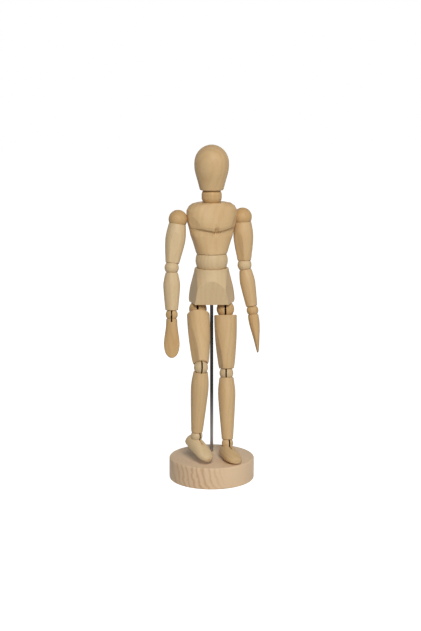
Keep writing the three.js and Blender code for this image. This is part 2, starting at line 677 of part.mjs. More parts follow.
// Arms: ball in the chest's side, upper arm, elbow ball, forearm and hand
for (const [side, name, pose] of [[-1, 'right', RIGHT_ARM], [1, 'left', LEFT_ARM]]) {
  const shoulderPlace = [side * SHOULDER_HALF, SHOULDER_BACK, SHOULDER_Z - WAIST_Z];
  const swing = joint(chestGroup, `${name}_shoulder_swing`, shoulderPlace, [-pose.swing, 0, 0]);
  const slotTurn = side < 0 ? SHOULDER_SLOT_TURN : 180 - SHOULDER_SLOT_TURN;
  const shoulderBall = jointBall(SHOULDER_R, WIDE_SLOT_W).rotate([0, 0, 90]).rotate([0, slotTurn, 0]);
  piece(swing, `${name}_shoulder_ball`, shoulderBall, WOOD_WARM);
  piece(swing, `${name}_shoulder_pin`, pin(SHOULDER_R - PIN_END, 'y'), STEEL, true);
  const raise = joint(swing, `${name}_arm_raise`, [0, 0, 0], [0, -side * pose.raise, 0]);
  const elbowEnd = { turn: degrees(pose.twist), shift: HOOK_SHIFT, leg: ELBOW_LEG };
  const armSpring = spring(UPPER_ARM_L, acrossY(-HOOK_SHIFT, SHOULDER_LEG), elbowEnd, COIL_TURNS);
  piece(raise, `${name}_upper_arm_spring`, armSpring, STEEL, true);
  const twist = joint(raise, `${name}_arm_twist`, [0, 0, 0], [0, 0, pose.twist]);
  const armFlat = sideFlat(
    UPPER_ARM_STATIONS[1][0], UPPER_ARM_FLAT_FROM, UPPER_ARM_FLAT, UPPER_ARM_L, UPPER_ARM_FLAT_TURN,
  );
  const upperArm = limb(UPPER_ARM_STATIONS, UPPER_ARM_TOP, UPPER_ARM_L, UPPER_ARM_END, SHOULDER_R, ELBOW_R);
  piece(twist, `${name}_upper_arm`, upperArm.subtract(armFlat), WOOD);
  const elbow = joint(twist, `${name}_elbow_roll`, [0, 0, -UPPER_ARM_L], [-pose.bend / 2, 0, 0]);
  piece(elbow, `${name}_elbow_ball`, jointBall(ELBOW_R), WOOD_WARM);
  piece(elbow, `${name}_elbow_pin`, pin(ELBOW_R - PIN_END, 'x'), STEEL, true);
  const bend = joint(elbow, `${name}_elbow_bend`, [0, 0, 0], [-pose.bend / 2, 0, 0]);
  const wristEnd = { turn: degrees(pose.turn), shift: 0, leg: WRIST_LEG };
  const forearmSpring = spring(FOREARM_L, acrossX(-HOOK_SHIFT, ELBOW_LEG), wristEnd, COIL_TURNS);
  piece(bend, `${name}_forearm_spring`, forearmSpring, STEEL, true);
  const turn = joint(bend, `${name}_forearm_turn`, [0, 0, 0], [0, 0, pose.turn]);
  const forearm = limb(FOREARM_STATIONS, FOREARM_TOP, FOREARM_L, FOREARM_END, ELBOW_R, WRIST_R);
  piece(turn, `${name}_forearm`, forearm, WOOD);
  const wrist = joint(turn, `${name}_wrist_bend`, [0, 0, -FOREARM_L], [-pose.wrist, 0, 0]);
  piece(wrist, `${name}_hand`, handShape(), WOOD_WARM);
  piece(wrist, `${name}_wrist_pin`, pin(WRIST_R - PIN_END, 'x'), STEEL, true);
}

// Legs: ball under the pelvis, thigh, knee ball, calf and foot
for (const [side, name, pose] of [[-1, 'right', RIGHT_LEG], [1, 'left', LEFT_LEG]]) {
  const hipEnds = [PELVIS_LEG, HIP_LEG].map((leg) => acrossX(-side * HOOK_SHIFT, leg));
  const hipSpring = spring(PELVIS_PIN_Z - HIP_Z, ...hipEnds, HIP_TURNS);
  hipSpring.translate(side * HIP_HALF, 0, PELVIS_PIN_Z);
  piece(pelvisGroup, `${name}_hip_spring`, hipSpring, STEEL, true);
  const hipPlace = [side * HIP_HALF, 0, HIP_Z];
  const spread = joint(pelvisGroup, `${name}_leg_spread`, hipPlace, [0, -side * pose.spread, 0]);
  piece(spread, `${name}_hip_ball`, jointBall(HIP_R, WIDE_SLOT_W, HIP_WEB), WOOD_WARM);
  piece(spread, `${name}_hip_pin`, pin(HIP_R - PIN_END, 'x'), STEEL, true);
  const swing = joint(spread, `${name}_hip_swing`, [0, 0, 0], [-pose.swing, 0, 0]);
  const kneeEnd = { turn: degrees(pose.twist), shift: HOOK_SHIFT, leg: KNEE_LEG };
  const thighSpring = spring(THIGH_L, acrossX(side * HOOK_SHIFT, THIGH_LEG), kneeEnd, COIL_TURNS);
  piece(swing, `${name}_thigh_spring`, thighSpring, STEEL, true);
  const twist = joint(swing, `${name}_thigh_twist`, [0, 0, 0], [0, 0, pose.twist]);
  const thighFlat = sideFlat(THIGH_STATIONS[1][0], THIGH_FLAT_FROM, THIGH_FLAT, THIGH_L, THIGH_FLAT_TURN);
  const thigh = limb(THIGH_STATIONS, THIGH_TOP, THIGH_L, THIGH_END, HIP_R, KNEE_R);
  piece(twist, `${name}_thigh`, thigh.subtract(thighFlat), WOOD);
  const knee = joint(twist, `${name}_knee_roll`, [0, 0, -THIGH_L], [pose.bend / 2, 0, 0]);
  piece(knee, `${name}_knee_ball`, jointBall(KNEE_R), WOOD_WARM);
  piece(knee, `${name}_knee_pin`, pin(KNEE_R - PIN_END, 'x'), STEEL, true);
  const bend = joint(knee, `${name}_knee_bend`, [0, 0, 0], [pose.bend / 2, 0, 0]);
  const ankleEnd = { turn: degrees(pose.turn), shift: 0, leg: ANKLE_LEG };
  const calfSpring = spring(CALF_L, acrossX(-HOOK_SHIFT, KNEE_LEG), ankleEnd, COIL_TURNS);
  piece(bend, `${name}_calf_spring`, calfSpring, STEEL, true);
  const turn = joint(bend, `${name}_calf_turn`, [0, 0, 0], [0, 0, pose.turn]);
  piece(turn, `${name}_calf`, limb(CALF_STATIONS, CALF_TOP, CALF_L, CALF_END, KNEE_R, ANKLE_R), WOOD);
  const ankle = joint(turn, `${name}_ankle_bend`, [0, 0, -CALF_L], [pose.toe, 0, 0]);
  piece(ankle, `${name}_foot`, footShape(), WOOD_WARM);
  piece(ankle, `${name}_ankle_pin`, pin(ANKLE_R - PIN_END, 'x'), STEEL, true);
}

console.log(`least gap between curls of a spring: ${leastCoilGap.toFixed(2)} mm`);

export default mannequin;
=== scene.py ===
"""Studio scene of a jointed wooden artist mannequin on a rod and a round base.

Lengths in the classes are millimetres, in each piece's own frame. Pieces go to metres when they are placed.
"""
import json
import logging
import math
from dataclasses import dataclass, field
from enum import Enum
from typing import Any, Callable, Mapping, Optional, Sequence, Union

import bpy
from mathutils import Matrix, Vector


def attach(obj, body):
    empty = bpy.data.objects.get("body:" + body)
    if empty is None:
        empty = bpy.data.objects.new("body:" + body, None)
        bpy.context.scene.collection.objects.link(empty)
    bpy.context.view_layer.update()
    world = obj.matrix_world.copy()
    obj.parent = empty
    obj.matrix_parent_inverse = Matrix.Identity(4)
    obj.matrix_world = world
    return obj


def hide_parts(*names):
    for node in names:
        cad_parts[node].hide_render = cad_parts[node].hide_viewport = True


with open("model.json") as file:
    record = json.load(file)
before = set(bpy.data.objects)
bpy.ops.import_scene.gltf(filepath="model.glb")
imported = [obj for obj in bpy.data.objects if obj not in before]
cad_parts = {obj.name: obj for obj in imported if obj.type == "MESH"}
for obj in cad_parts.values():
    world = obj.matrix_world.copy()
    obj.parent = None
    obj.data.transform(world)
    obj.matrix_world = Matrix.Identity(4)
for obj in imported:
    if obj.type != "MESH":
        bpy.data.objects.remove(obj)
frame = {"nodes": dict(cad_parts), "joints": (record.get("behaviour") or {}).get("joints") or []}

LOG = logging.getLogger("mannequin")
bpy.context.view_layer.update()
MM = 0.001
ORIGIN = (0.0, 0.0, 0.0)
SIDES = (-1.0, 1.0)
LYING = Matrix.Rotation(math.radians(90.0), 3, "X")
JOINTS: dict[str, dict[str, Any]] = {joint["name"]: joint for joint in frame["joints"]}


class Side(Enum):
    """The figure's own two sides, with the sign of X on each."""

    RIGHT = -1
    LEFT = 1

    @property
    def word(self) -> str:
        """The side's word in the names of pieces and joints."""
        return self.name.lower()


class Tone(Enum):
    """Colour of a piece's wood, as linear red, green and blue of its pale and its dark rings."""

    PLAIN = ((0.67, 0.467, 0.243), (0.57, 0.359, 0.167))
    PALE = ((0.70, 0.53, 0.31), (0.61, 0.425, 0.225))
    WARM = ((0.63, 0.415, 0.195), (0.53, 0.315, 0.125))
    ROSY = ((0.84, 0.63, 0.41), (0.66, 0.42, 0.245))


class Slot(Enum):
    """Material slots of the record."""

    LIMB = "limb_wood"
    BALL = "ball_wood"
    BASE = "base_wood"
    ROD = "rod_steel"


@dataclass(frozen=True)
class Place:
    """Where a piece's own frame stands in the figure.

    Args:
        origin: The frame's origin, in metres.
        x: Direction of its X axis.
        z: Direction of its Z axis, square to X.
    """

    origin: Vector
    x: Vector
    z: Vector

    @property
    def turn(self) -> Matrix:
        """The frame's axes as a rotation."""
        y = self.z.cross(self.x)
        return Matrix((self.x, y, self.z)).transposed()

    @property
    def matrix(self) -> Matrix:
        """From the piece's millimetres to the figure's metres."""
        return Matrix.Translation(self.origin) @ self.turn.to_4x4() @ Matrix.Scale(MM, 4)

    def tipped(self, degrees: float) -> "Place":
        """The same frame turned about its own X axis.

        Args:
            degrees: The turn, by the right hand.

        Returns:
            The turned frame.
        """
        turn = Matrix.Rotation(math.radians(degrees), 3, self.x)
        return Place(self.origin, self.x, turn @ self.z)

    def raised(self, z: float) -> "Place":
        """The same frame moved along its own Z axis.

        Args:
            z: The distance in millimetres.

        Returns:
            The moved frame.
        """
        return Place(self.origin + self.z * (z * MM), self.x, self.z)


def joint_axis(name: str, sign: float = 1.0) -> Vector:
    """Direction of a joint's axis.

    Args:
        name: The joint.
        sign: -1 turns the direction round.

    Returns:
        The unit direction.
    """
    return Vector(JOINTS[name]["axis"]).normalized() * sign


def joint_point(name: str) -> Vector:
    """A joint's centre in metres."""
    return Vector(JOINTS[name]["pos_m"])


Number = Union[float, "Value"]


class Value:
    """A number that changes over a surface, with Python's operators."""

    def __init__(self, graph: "Graph", socket: bpy.types.NodeSocket) -> None:
        """Wraps a node's output socket."""
        self.graph = graph
        self.socket = socket

    def math(self, operation: str, *others: Number) -> "Value":
        """A Math node on this value.

        Args:
            operation: The node's operation.
            others: Its other operands.

        Returns:
            The result.
        """
        return self.graph.math(operation, self, *others)

    def __add__(self, other: Number) -> "Value":
        """Sum."""
        return self.math("ADD", other)

    __radd__ = __add__

    def __sub__(self, other: Number) -> "Value":
        """Difference."""
        return self.math("SUBTRACT", other)

    def __rsub__(self, other: Number) -> "Value":
        """Difference from a number."""
        return self.graph.math("SUBTRACT", other, self)

    def __mul__(self, other: Number) -> "Value":
        """Product."""
        return self.math("MULTIPLY", other)

    __rmul__ = __mul__

    def __truediv__(self, other: Number) -> "Value":
        """Quotient."""
        return self.math("DIVIDE", other)

    def __pow__(self, other: Number) -> "Value":
        """Power."""
        return self.math("POWER", other)

    def __abs__(self) -> "Value":
        """Size without its sign."""
        return self.math("ABSOLUTE")


class Graph:
    """The nodes of one material or world."""

    def __init__(self, owner: Union[bpy.types.Material, bpy.types.World]) -> None:
        """Starts without nodes.

        Args:
            owner: The material or world.
        """
        owner.use_nodes = True
        self.owner = owner
        self.tree = owner.node_tree
        self.tree.nodes.clear()

    @classmethod
    def material(cls, name: str) -> "Graph":
        """Starts a material.

        Args:
            name: The material's name.

        Returns:
            Its empty graph.
        """
        return cls(bpy.data.materials.new(name))

    def node(self, kind: str, settings: Mapping[str, Any], inputs: Mapping[Any, Any]) -> bpy.types.Node:
        """Adds a node.

        Args:
            kind: The node's type.
            settings: Its own settings.
            inputs: Values or links of its sockets, by name or number.

        Returns:
            The node.
        """
        made = self.tree.nodes.new(kind)
        for key, setting in settings.items():
            setattr(made, key, setting)
        for key, value in inputs.items():
            if isinstance(value, Value):
                self.tree.links.new(value.socket, made.inputs[key])
            elif isinstance(value, bpy.types.NodeSocket):
                self.tree.links.new(value, made.inputs[key])
            else:
                made.inputs[key].default_value = value
        return made

    def math(self, operation: str, *operands: Number) -> Value:
        """A Math node.

        Args:
            operation: The node's operation.
            operands: Numbers or values.

        Returns:
            The result.
        """
        made = self.node("ShaderNodeMath", {"operation": operation}, dict(enumerate(operands)))
        return Value(self, made.outputs[0])

    def coordinates(self, origin: Vector, axes: Matrix) -> tuple[bpy.types.NodeSocket, bpy.types.NodeSocket]:
        """A piece's own coordinates, and its normals.

        Args:
            origin: Where the piece's frame stands, in metres.
            axes: The frame's turn.

        Returns:
            The coordinates in the frame's millimetres, and the normals in the figure's frame.
        """
        source = self.node("ShaderNodeTexCoord", {}, {})
        inner = self.node("ShaderNodeMapping", {"vector_type": "TEXTURE"}, {
            "Vector": source.outputs["Object"],
            "Location": tuple(origin),
            "Rotation": tuple(axes.to_euler()),
            "Scale": (MM, MM, MM),
        })
        return inner.outputs[0], source.outputs["Normal"]

    def parts(self, vector: bpy.types.NodeSocket) -> list[Value]:
        """X, Y and Z of a vector."""
        return [Value(self, part) for part in self.node("ShaderNodeSeparateXYZ", {}, {0: vector}).outputs]

    def noise(self, vector: bpy.types.NodeSocket, stretch: Sequence[float], detail: float) -> Value:
        """Soft noise from 0 to 1.

        Args:
            vector: Coordinates in millimetres.
            stretch: Ripples in a millimetre along X, Y and Z.
            detail: Octaves of finer noise.

        Returns:
            The noise.
        """
        scaled = self.node("ShaderNodeVectorMath", {"operation": "MULTIPLY"}, {0: vector, 1: tuple(stretch)})
        inputs = {"Vector": scaled.outputs[0], "Scale": 1.0, "Detail": detail}
        made = self.node("ShaderNodeTexNoise", {}, inputs)
        return Value(self, made.outputs["Fac"])

    def ramp(self, value: Value, low: float, high: float) -> Value:
        """A value stretched so that low becomes 0 and high becomes 1, and cut off there."""
        made = self.node("ShaderNodeMapRange", {"clamp": True}, {0: value, 1: low, 2: high})
        return Value(self, made.outputs[0])

    def mix(self, factor: Number, a: Any, b: Any, blend: str = "MIX") -> bpy.types.NodeSocket:
        """A mix of two colours.

        Args:
            factor: 0 for the first, 1 for the second.
            a: First colour or its socket.
            b: Second colour or its socket.
            blend: How they mix.

        Returns:
            The colour's socket.
        """
        colors = [(*c, 1.0) if isinstance(c, tuple) else c for c in (a, b)]
        settings = {"data_type": "RGBA", "blend_type": blend}
        made = self.node("ShaderNodeMix", settings, {0: factor, 6: colors[0], 7: colors[1]})
        return made.outputs[2]

    def finish(self, inputs: Mapping[Any, Any], height: Value, depth: float) -> bpy.types.Material:
        """Closes the material with its shader.

        Args:
            inputs: Sockets of the shader.
            height: Relief of the surface, from 0 to 1.
            depth: Depth of the relief in millimetres.

        Returns:
            The material.
        """
        bump = self.node("ShaderNodeBump", {}, {"Height": height, "Distance": depth * MM, "Strength": 1.0})
        shader = self.node("ShaderNodeBsdfPrincipled", {}, {**inputs, "Normal": bump.outputs[0]})
        self.node("ShaderNodeOutputMaterial", {}, {"Surface": shader.outputs[0]})
        return self.owner

    def backdrop_ray(self) -> Value:
        """1 for rays that show the backdrop itself, and 0 for rays that light the figure."""
        path = self.node("ShaderNodeLightPath", {}, {})
        words = ("Is Camera Ray", "Is Glossy Ray", "Is Transmission Ray")
        camera, glossy, clear = (Value(self, path.outputs[word]) for word in words)
        return camera.math("MAXIMUM", glossy).math("MAXIMUM", clear)


@dataclass(frozen=True)
class Grain:
    """What all the wood has in common. Its patterns are ripples in a millimetre along X, Y and the grain.

    Args:
        drift: Slow drift of the rings.
        waver: Small waver of the rings.
        fibre: Fine fibres.
        pores: Short dark pores.
        cloud: Broad patches of darker wood.
        drift_rings: How far the drift moves a ring, in rings.
        waver_rings: How far the waver moves it.
        narrow: How much narrower the dark part of a ring is than its pale part.
        pore_color: Colour of the pores.
        end_color: What end grain's colour is multiplied by.
        shares: How strongly clouds, fibres, pores and end grain show in the colour.
        rough: Roughness, and how much fibres and pores add to it.
        relief: Height of the surface, and how much fibres, pores and rings change it.
        depth: Depth of the relief in millimetres.
        specular: Strength of its reflections.
    """

    drift: tuple[float, float, float] = (0.06, 0.06, 0.016)
    waver: tuple[float, float, float] = (0.5, 0.5, 0.035)
    fibre: tuple[float, float, float] = (3.2, 3.2, 0.09)
    pores: tuple[float, float, float] = (2.4, 2.4, 0.28)
    cloud: tuple[float, float, float] = (0.05, 0.05, 0.03)
    drift_rings: float = 2.2
    waver_rings: float = 0.35
    narrow: float = 2.2
    pore_color: tuple[float, float, float] = (0.33, 0.19, 0.09)
    end_color: tuple[float, float, float] = (0.86, 0.83, 0.80)
    shares: tuple[float, float, float, float] = (0.16, 0.2, 0.3, 0.35)
    rough: tuple[float, float, float] = (0.42, 0.16, 0.1)
    relief: tuple[float, float, float, float] = (0.6, 0.55, -0.6, -0.15)
    depth: float = 0.03
    specular: float = 0.22


GRAIN = Grain()


@dataclass(frozen=True)
class Wood:
    """Pale satin wood, its grain along one direction of a piece.

    Args:
        tone: Its colour.
        ring: Width of a growth ring in millimetres.
        pith: Where the log's middle lay beside the piece, in millimetres.
        contrast: How strongly the rings show, from 0 to 1.
        end_contrast: How much more they show across the grain.
        end_from: How far a face must look along the grain to count as end grain, from 0 to 1.
        fade: Where the rings begin to fade along X, and where they are gone, in millimetres.
    """

    tone: Tone = Tone.PLAIN
    ring: float = 3.4
    pith: tuple[float, float] = (34.0, 21.0)
    contrast: float = 0.32
    end_contrast: float = 0.2
    end_from: float = 0.45
    fade: tuple[float, float] = (500.0, 600.0)

    def rings(self, graph: Graph, local: bpy.types.NodeSocket, x: Value, y: Value) -> Value:
        """The growth rings, from 0 in pale wood to 1 in dark wood.

        Args:
            graph: The material's nodes.
            local: The piece's coordinates.
            x: Their first part.
            y: Their second part.

        Returns:
            The rings.
        """
        drift = graph.noise(local, GRAIN.drift, 2.0)
        waver = graph.noise(local, GRAIN.waver, 2.0)
        from_pith = ((x - self.pith[0]) ** 2.0 + (y - self.pith[1]) ** 2.0) ** 0.5
        bent = drift * (GRAIN.drift_rings * self.ring) + waver * (GRAIN.waver_rings * self.ring)
        wave = graph.math("SINE", (from_pith + bent) / self.ring * (2.0 * math.pi))
        return (wave * 0.5 + 0.5) ** GRAIN.narrow

    def material(self, name: str, place: Place, grain: Matrix = Matrix.Identity(3)) -> bpy.types.Material:
        """Makes the wood of one piece.

        Args:
            name: The material's name.
            place: The piece's frame.
            grain: Turn from the piece's Z axis to its grain.

        Returns:
            The material.
        """
        graph = Graph.material(name)
        axes = place.turn @ grain
        local, normal = graph.coordinates(place.origin, axes)
        x, y, _ = graph.parts(local)
        facing = {0: normal, 1: tuple(axes.col[2])}
        along = graph.node("ShaderNodeVectorMath", {"operation": "DOT_PRODUCT"}, facing)
        end = graph.ramp(abs(Value(graph, along.outputs["Value"])), self.end_from, 1.0)
        ring = self.rings(graph, local, x, y)
        fibre = graph.noise(local, GRAIN.fibre, 3.0)
        pores = graph.ramp(graph.noise(local, GRAIN.pores, 1.0), 0.64, 0.74)
        cloud = graph.ramp(graph.noise(local, GRAIN.cloud, 1.0), 0.35, 0.75)

        pale, dark = self.tone.value
        clouds, fibres, holes, ends = GRAIN.shares
        kept = 1.0 - graph.ramp(x, *self.fade)
        shown = ring * kept * (end * self.end_contrast + self.contrast) + cloud * clouds
        color = graph.mix(shown, pale, dark)
        color = graph.mix(graph.ramp(fibre, 0.36, 0.7) * fibres, color, dark)
        color = graph.mix(pores * holes, color, GRAIN.pore_color)
        color = graph.mix(end * ends, color, GRAIN.end_color, "MULTIPLY")
        base, rough_fibre, rough_pores = GRAIN.rough
        level, high_fibre, high_pores, high_ring = GRAIN.relief
        shader = {
            "Base Color": color,
            "Roughness": fibre * rough_fibre + pores * rough_pores + base,
            "Specular IOR Level": GRAIN.specular,
        }
        relief = fibre * high_fibre + pores * high_pores + ring * high_ring + level
        return graph.finish(shader, relief, GRAIN.depth)


@dataclass(frozen=True)
class SawCut:
    """Rough wood inside a saw slot, painted near-black as the shade deep in the slot.

    Args:
        color: Its colour, a near-black painted shade.
        lighter: How much lighter the saw's marks are.
        marks: Marks in a millimetre along X, Y and Z.
        rough: Its roughness, and how much the marks add to it.
        depth: Depth of the marks in millimetres.
    """

    # Near-black painted shade of the slot's walls
    color: tuple[float, float, float] = (0.055, 0.032, 0.018)
    lighter: float = 2.2
    marks: tuple[float, float, float] = (0.8, 5.0, 0.7)
    rough: tuple[float, float] = (0.75, 0.1)
    depth: float = 0.05

    def material(self, name: str, place: Place) -> bpy.types.Material:
        """Makes the walls of one piece's slot, painted with their shade.

        Args:
            name: The material's name.
            place: The piece's frame.

        Returns:
            The material.
        """
        graph = Graph.material(name)
        local, _ = graph.coordinates(place.origin, place.turn)
        marks = graph.noise(local, self.marks, 2.0)
        lighter = tuple(self.lighter * part for part in self.color)
        color = graph.mix(graph.ramp(marks, 0.4, 0.75), self.color, lighter)
        rough = marks * self.rough[1] + self.rough[0]
        return graph.finish({"Base Color": color, "Roughness": rough}, marks, self.depth)


@dataclass(frozen=True)
class Steel:
    """Drawn steel with fine marks along it.

    Args:
        color: Its colour.
        rough: Its roughness.
        bright: Its lighter colour towards its lower end.
        polish: Height up to which it has that lighter colour, and where it is gone, in millimetres.
        marks: Marks in a millimetre along X, Y and Z.
        haze: Broad dull patches, in the same way.
        darker: How dark the dull patches are.
        adds: How much marks and haze add to the roughness.
        depth: Depth of the marks in millimetres.
    """

    color: tuple[float, float, float]
    rough: float
    bright: tuple[float, float, float] = (0.3, 0.285, 0.27)
    polish: tuple[float, float] = (-2.0, -1.0)
    marks: tuple[float, float, float] = (6.0, 6.0, 0.25)
    haze: tuple[float, float, float] = (0.12, 0.12, 0.05)
    darker: float = 0.72
    adds: tuple[float, float] = (0.16, 0.08)
    depth: float = 0.008

    def material(self, name: str) -> bpy.types.Material:
        """Makes the steel.

        Args:
            name: The material's name.

        Returns:
            The material.
        """
        graph = Graph.material(name)
        local, _ = graph.coordinates(Vector(), Matrix.Identity(3))
        marks = graph.noise(local, self.marks, 3.0)
        haze = graph.noise(local, self.haze, 2.0)
        darker = tuple(self.darker * part for part in self.color)
        dull = graph.mix(graph.ramp(haze, 0.35, 0.7) * 0.7, self.color, darker)
        _, _, height = graph.parts(local)
        shader = {
            "Base Color": graph.mix(graph.ramp(height, *self.polish), self.bright, dull),
            "Metallic": 1.0,
            "Roughness": marks * self.adds[0] + haze * self.adds[1] + self.rough,
        }
        return graph.finish(shader, marks, self.depth)


@dataclass(frozen=True)
class Ring:
    """One oval section of a turned or carved piece.

    Args:
        z: Its height.
        half_x: Half its width.
        half_y: Half its depth.
        y: How far its middle lies behind the piece's axis.
    """

    z: float
    half_x: float
    half_y: float
    y: float = 0.0


def round_ring(z: float, radius: float) -> Ring:
    """A round section.

    Args:
        z: Its height.
        radius: Its radius.

    Returns:
        The section.
    """
    return Ring(z, radius, radius)


def arc_rings(radius: float, z: float, start: float, end: float, steps: int,
              squash: float = 1.0) -> list[Ring]:
    """Round sections down an arc whose middle lies on the axis.

    Args:
        radius: The arc's radius.
        z: Height of its middle.
        start: First angle above the horizontal, in degrees.
        end: Last angle.
        steps: Steps between them.
        squash: Height of the arc over its radius.

    Returns:
        The sections in order.
    """
    rings = []
    for step in range(steps + 1):
        angle = math.radians(start + (end - start) * step / steps)
        rings.append(round_ring(z + squash * radius * math.sin(angle), radius * math.cos(angle)))
    return rings


def smooth_path(points: Sequence[Sequence[float]], steps: int) -> list[tuple[float, ...]]:
    """A smooth line through points.

    Args:
        points: The points it passes through.
        steps: Steps between two of them.

    Returns:
        Points along the line.
    """
    line = [tuple(points[0])]
    for k in range(len(points) - 1):
        a, b = points[k], points[k + 1]
        before = points[k - 1] if k > 0 else [2 * p - q for p, q in zip(a, b)]
        after = points[k + 2] if k + 2 < len(points) else [2 * q - p for p, q in zip(a, b)]
        for step in range(1, steps + 1):
            t = step / steps
            line.append(tuple(
                0.5 * (2 * q + (r - p) * t + (2 * p - 5 * q + 4 * r - s) * t ** 2
                       + (3 * q - p - 3 * r + s) * t ** 3)
                for p, q, r, s in zip(before, a, b, after)
            ))
    return line


@dataclass(frozen=True)
class Sanding:
    """How a piece is sanded.

    Args:
        grit: Size of a patch of the sanded surface.
        strokes: How often it is smoothed.
    """

    grit: float
    strokes: int


class Bench:
    """Workbench: the operations that shape a piece, in its own millimetres."""

    def __init__(self, name: str) -> None:
        """Starts a piece.

        Args:
            name: The CAD node it stands for.
        """
        self.name = name
        self.piece: bpy.types.Object

    @staticmethod
    def only(piece: bpy.types.Object) -> None:
        """Selects one object and nothing else."""
        bpy.ops.object.select_all(action="DESELECT")
        piece.select_set(True)
        bpy.context.view_layer.objects.active = piece

    @staticmethod
    def settle() -> None:
        """Works the active object's place, turn and size into its mesh."""
        bpy.ops.object.transform_apply(location=True, rotation=True, scale=True)

    @staticmethod
    def sphere(radius: float, at: Sequence[float]) -> bpy.types.Object:
        """Adds a ball.

        Args:
            radius: Its radius.
            at: Its centre.

        Returns:
            The ball.
        """
        bpy.ops.object.select_all(action="DESELECT")
        bpy.ops.mesh.primitive_uv_sphere_add(segments=64, ring_count=32, radius=radius, location=tuple(at))
        return bpy.context.object

    def outward(self) -> None:
        """Turns every face of the piece to look outward."""
        self.only(self.piece)
        bpy.ops.object.mode_set(mode="EDIT")
        bpy.ops.mesh.select_all(action="SELECT")
        bpy.ops.mesh.normals_make_consistent(inside=False)
        bpy.ops.object.mode_set(mode="OBJECT")

    def rings(self, rings: Sequence[Ring], sides: int, pointed: bool = False) -> "Bench":
        """Pulls a solid out of a disc, ring by ring.

        Args:
            rings: Its sections in order.
            sides: Corners of a section.
            pointed: The last ring closes to a point.

        Returns:
            The bench.
        """
        first = rings[0]
        bpy.ops.object.select_all(action="DESELECT")
        bpy.ops.mesh.primitive_circle_add(vertices=sides, radius=1.0, fill_type="NGON")
        self.piece = bpy.context.object
        bpy.ops.object.mode_set(mode="EDIT")
        bpy.ops.transform.resize(value=(first.half_x, first.half_y, 1.0), center_override=(0.0, 0.0, 0.0))
        bpy.ops.transform.translate(value=(0.0, first.y, first.z))
        for last, ring in zip(rings, rings[1:]):
            move = (0.0, ring.y - last.y, ring.z - last.z)
            bpy.ops.mesh.extrude_region_move(TRANSFORM_OT_translate={"value": move})
            size = (ring.half_x / last.half_x, ring.half_y / last.half_y, 1.0)
            bpy.ops.transform.resize(value=size, center_override=(0.0, ring.y, ring.z))
        if pointed:
            bpy.ops.mesh.merge(type="CENTER")
        bpy.ops.object.mode_set(mode="OBJECT")
        self.outward()
        return self

    def ball(self, radius: float) -> "Bench":
        """Starts from a ball.

        Args:
            radius: Its radius.

        Returns:
            The bench.
        """
        self.piece = self.sphere(radius, ORIGIN)
        return self

    def carve(self, move: Callable[[Vector], Vector]) -> "Bench":
        """Moves each point of the surface.

        Args:
            move: Where a point goes.

        Returns:
            The bench.
        """
        for vertex in self.piece.data.vertices:
            vertex.co = move(vertex.co.copy())
        self.outward()
        return self

    def combine(self, tool: bpy.types.Object, operation: str) -> None:
        """Cuts a tool out of the piece, or joins it on, and takes the tool away.

        Args:
            tool: The tool.
            operation: What is done with it.
        """
        self.only(self.piece)
        modifier = self.piece.modifiers.new("shape", "BOOLEAN")
        modifier.operation = operation
        modifier.solver = "EXACT"
        modifier.object = tool
        bpy.ops.object.modifier_apply(modifier=modifier.name)
        bpy.data.objects.remove(tool, do_unlink=True)

    def ball_tool(self, radius: float, at: Sequence[float], operation: str = "DIFFERENCE") -> "Bench":
        """Cuts a cup, or joins on a ball.

        Args:
            radius: Its radius.
            at: Its centre.
            operation: What is done with it.

        Returns:
            The bench.
        """
        self.combine(self.sphere(radius, at), operation)
        return self

    def bore(self, radius: float, start: Sequence[float], end: Sequence[float]) -> "Bench":
        """Drills a round hole.

        Args:
            radius: Its radius.
            start: One end of it.
            end: Its other end.

        Returns:
            The bench.
        """
        a, b = Vector(start), Vector(end)
        turn = (b - a).to_track_quat("Z", "Y").to_euler()
        bpy.ops.object.select_all(action="DESELECT")
        bpy.ops.mesh.primitive_cylinder_add(
            vertices=32, radius=radius, depth=(b - a).length, location=(a + b) / 2.0, rotation=turn)
        self.combine(bpy.context.object, "DIFFERENCE")
        return self

    def saw(self, low: Sequence[float], high: Sequence[float]) -> "Bench":
        """Saws out a slot.

        Args:
            low: Its lowest corner.
            high: Its highest corner.

        Returns:
            The bench.
        """
        a, b = Vector(low), Vector(high)
        bpy.ops.object.select_all(action="DESELECT")
        bpy.ops.mesh.primitive_cube_add(size=1.0, location=(a + b) / 2.0, scale=tuple(b - a))
        self.combine(bpy.context.object, "DIFFERENCE")
        return self

    def plane(self, point: Sequence[float], facing: Sequence[float]) -> "Bench":
        """Planes a flat onto the piece.

        Args:
            point: A point of the flat.
            facing: The way the flat looks.

        Returns:
            The bench.
        """
        self.only(self.piece)
        bpy.ops.object.mode_set(mode="EDIT")
        bpy.ops.mesh.select_all(action="SELECT")
        bpy.ops.mesh.bisect(plane_co=tuple(point), plane_no=tuple(facing), use_fill=True, clear_outer=True)
        bpy.ops.object.mode_set(mode="OBJECT")
        return self

    def turned(self, axis: str, degrees: float) -> "Bench":
        """Turns the piece about one of its own axes.

        Args:
            axis: X, Y or Z.
            degrees: The turn, by the right hand.

        Returns:
            The bench.
        """
        self.only(self.piece)
        self.piece.matrix_world = Matrix.Rotation(math.radians(degrees), 4, axis)
        self.settle()
        return self

    def sand(self, sanding: "Sanding") -> "Bench":
        """Breaks the sharp edges evenly.

        Args:
            sanding: How finely and how often.

        Returns:
            The bench.
        """
        self.only(self.piece)
        self.piece.data.remesh_voxel_size = sanding.grit
        self.piece.data.remesh_voxel_adaptivity = 0.0
        bpy.ops.object.voxel_remesh()
        modifier = self.piece.modifiers.new("sand", "SMOOTH")
        modifier.factor = 0.5
        modifier.iterations = sanding.strokes
        bpy.ops.object.modifier_apply(modifier=modifier.name)
        bpy.ops.object.shade_smooth()
        return self

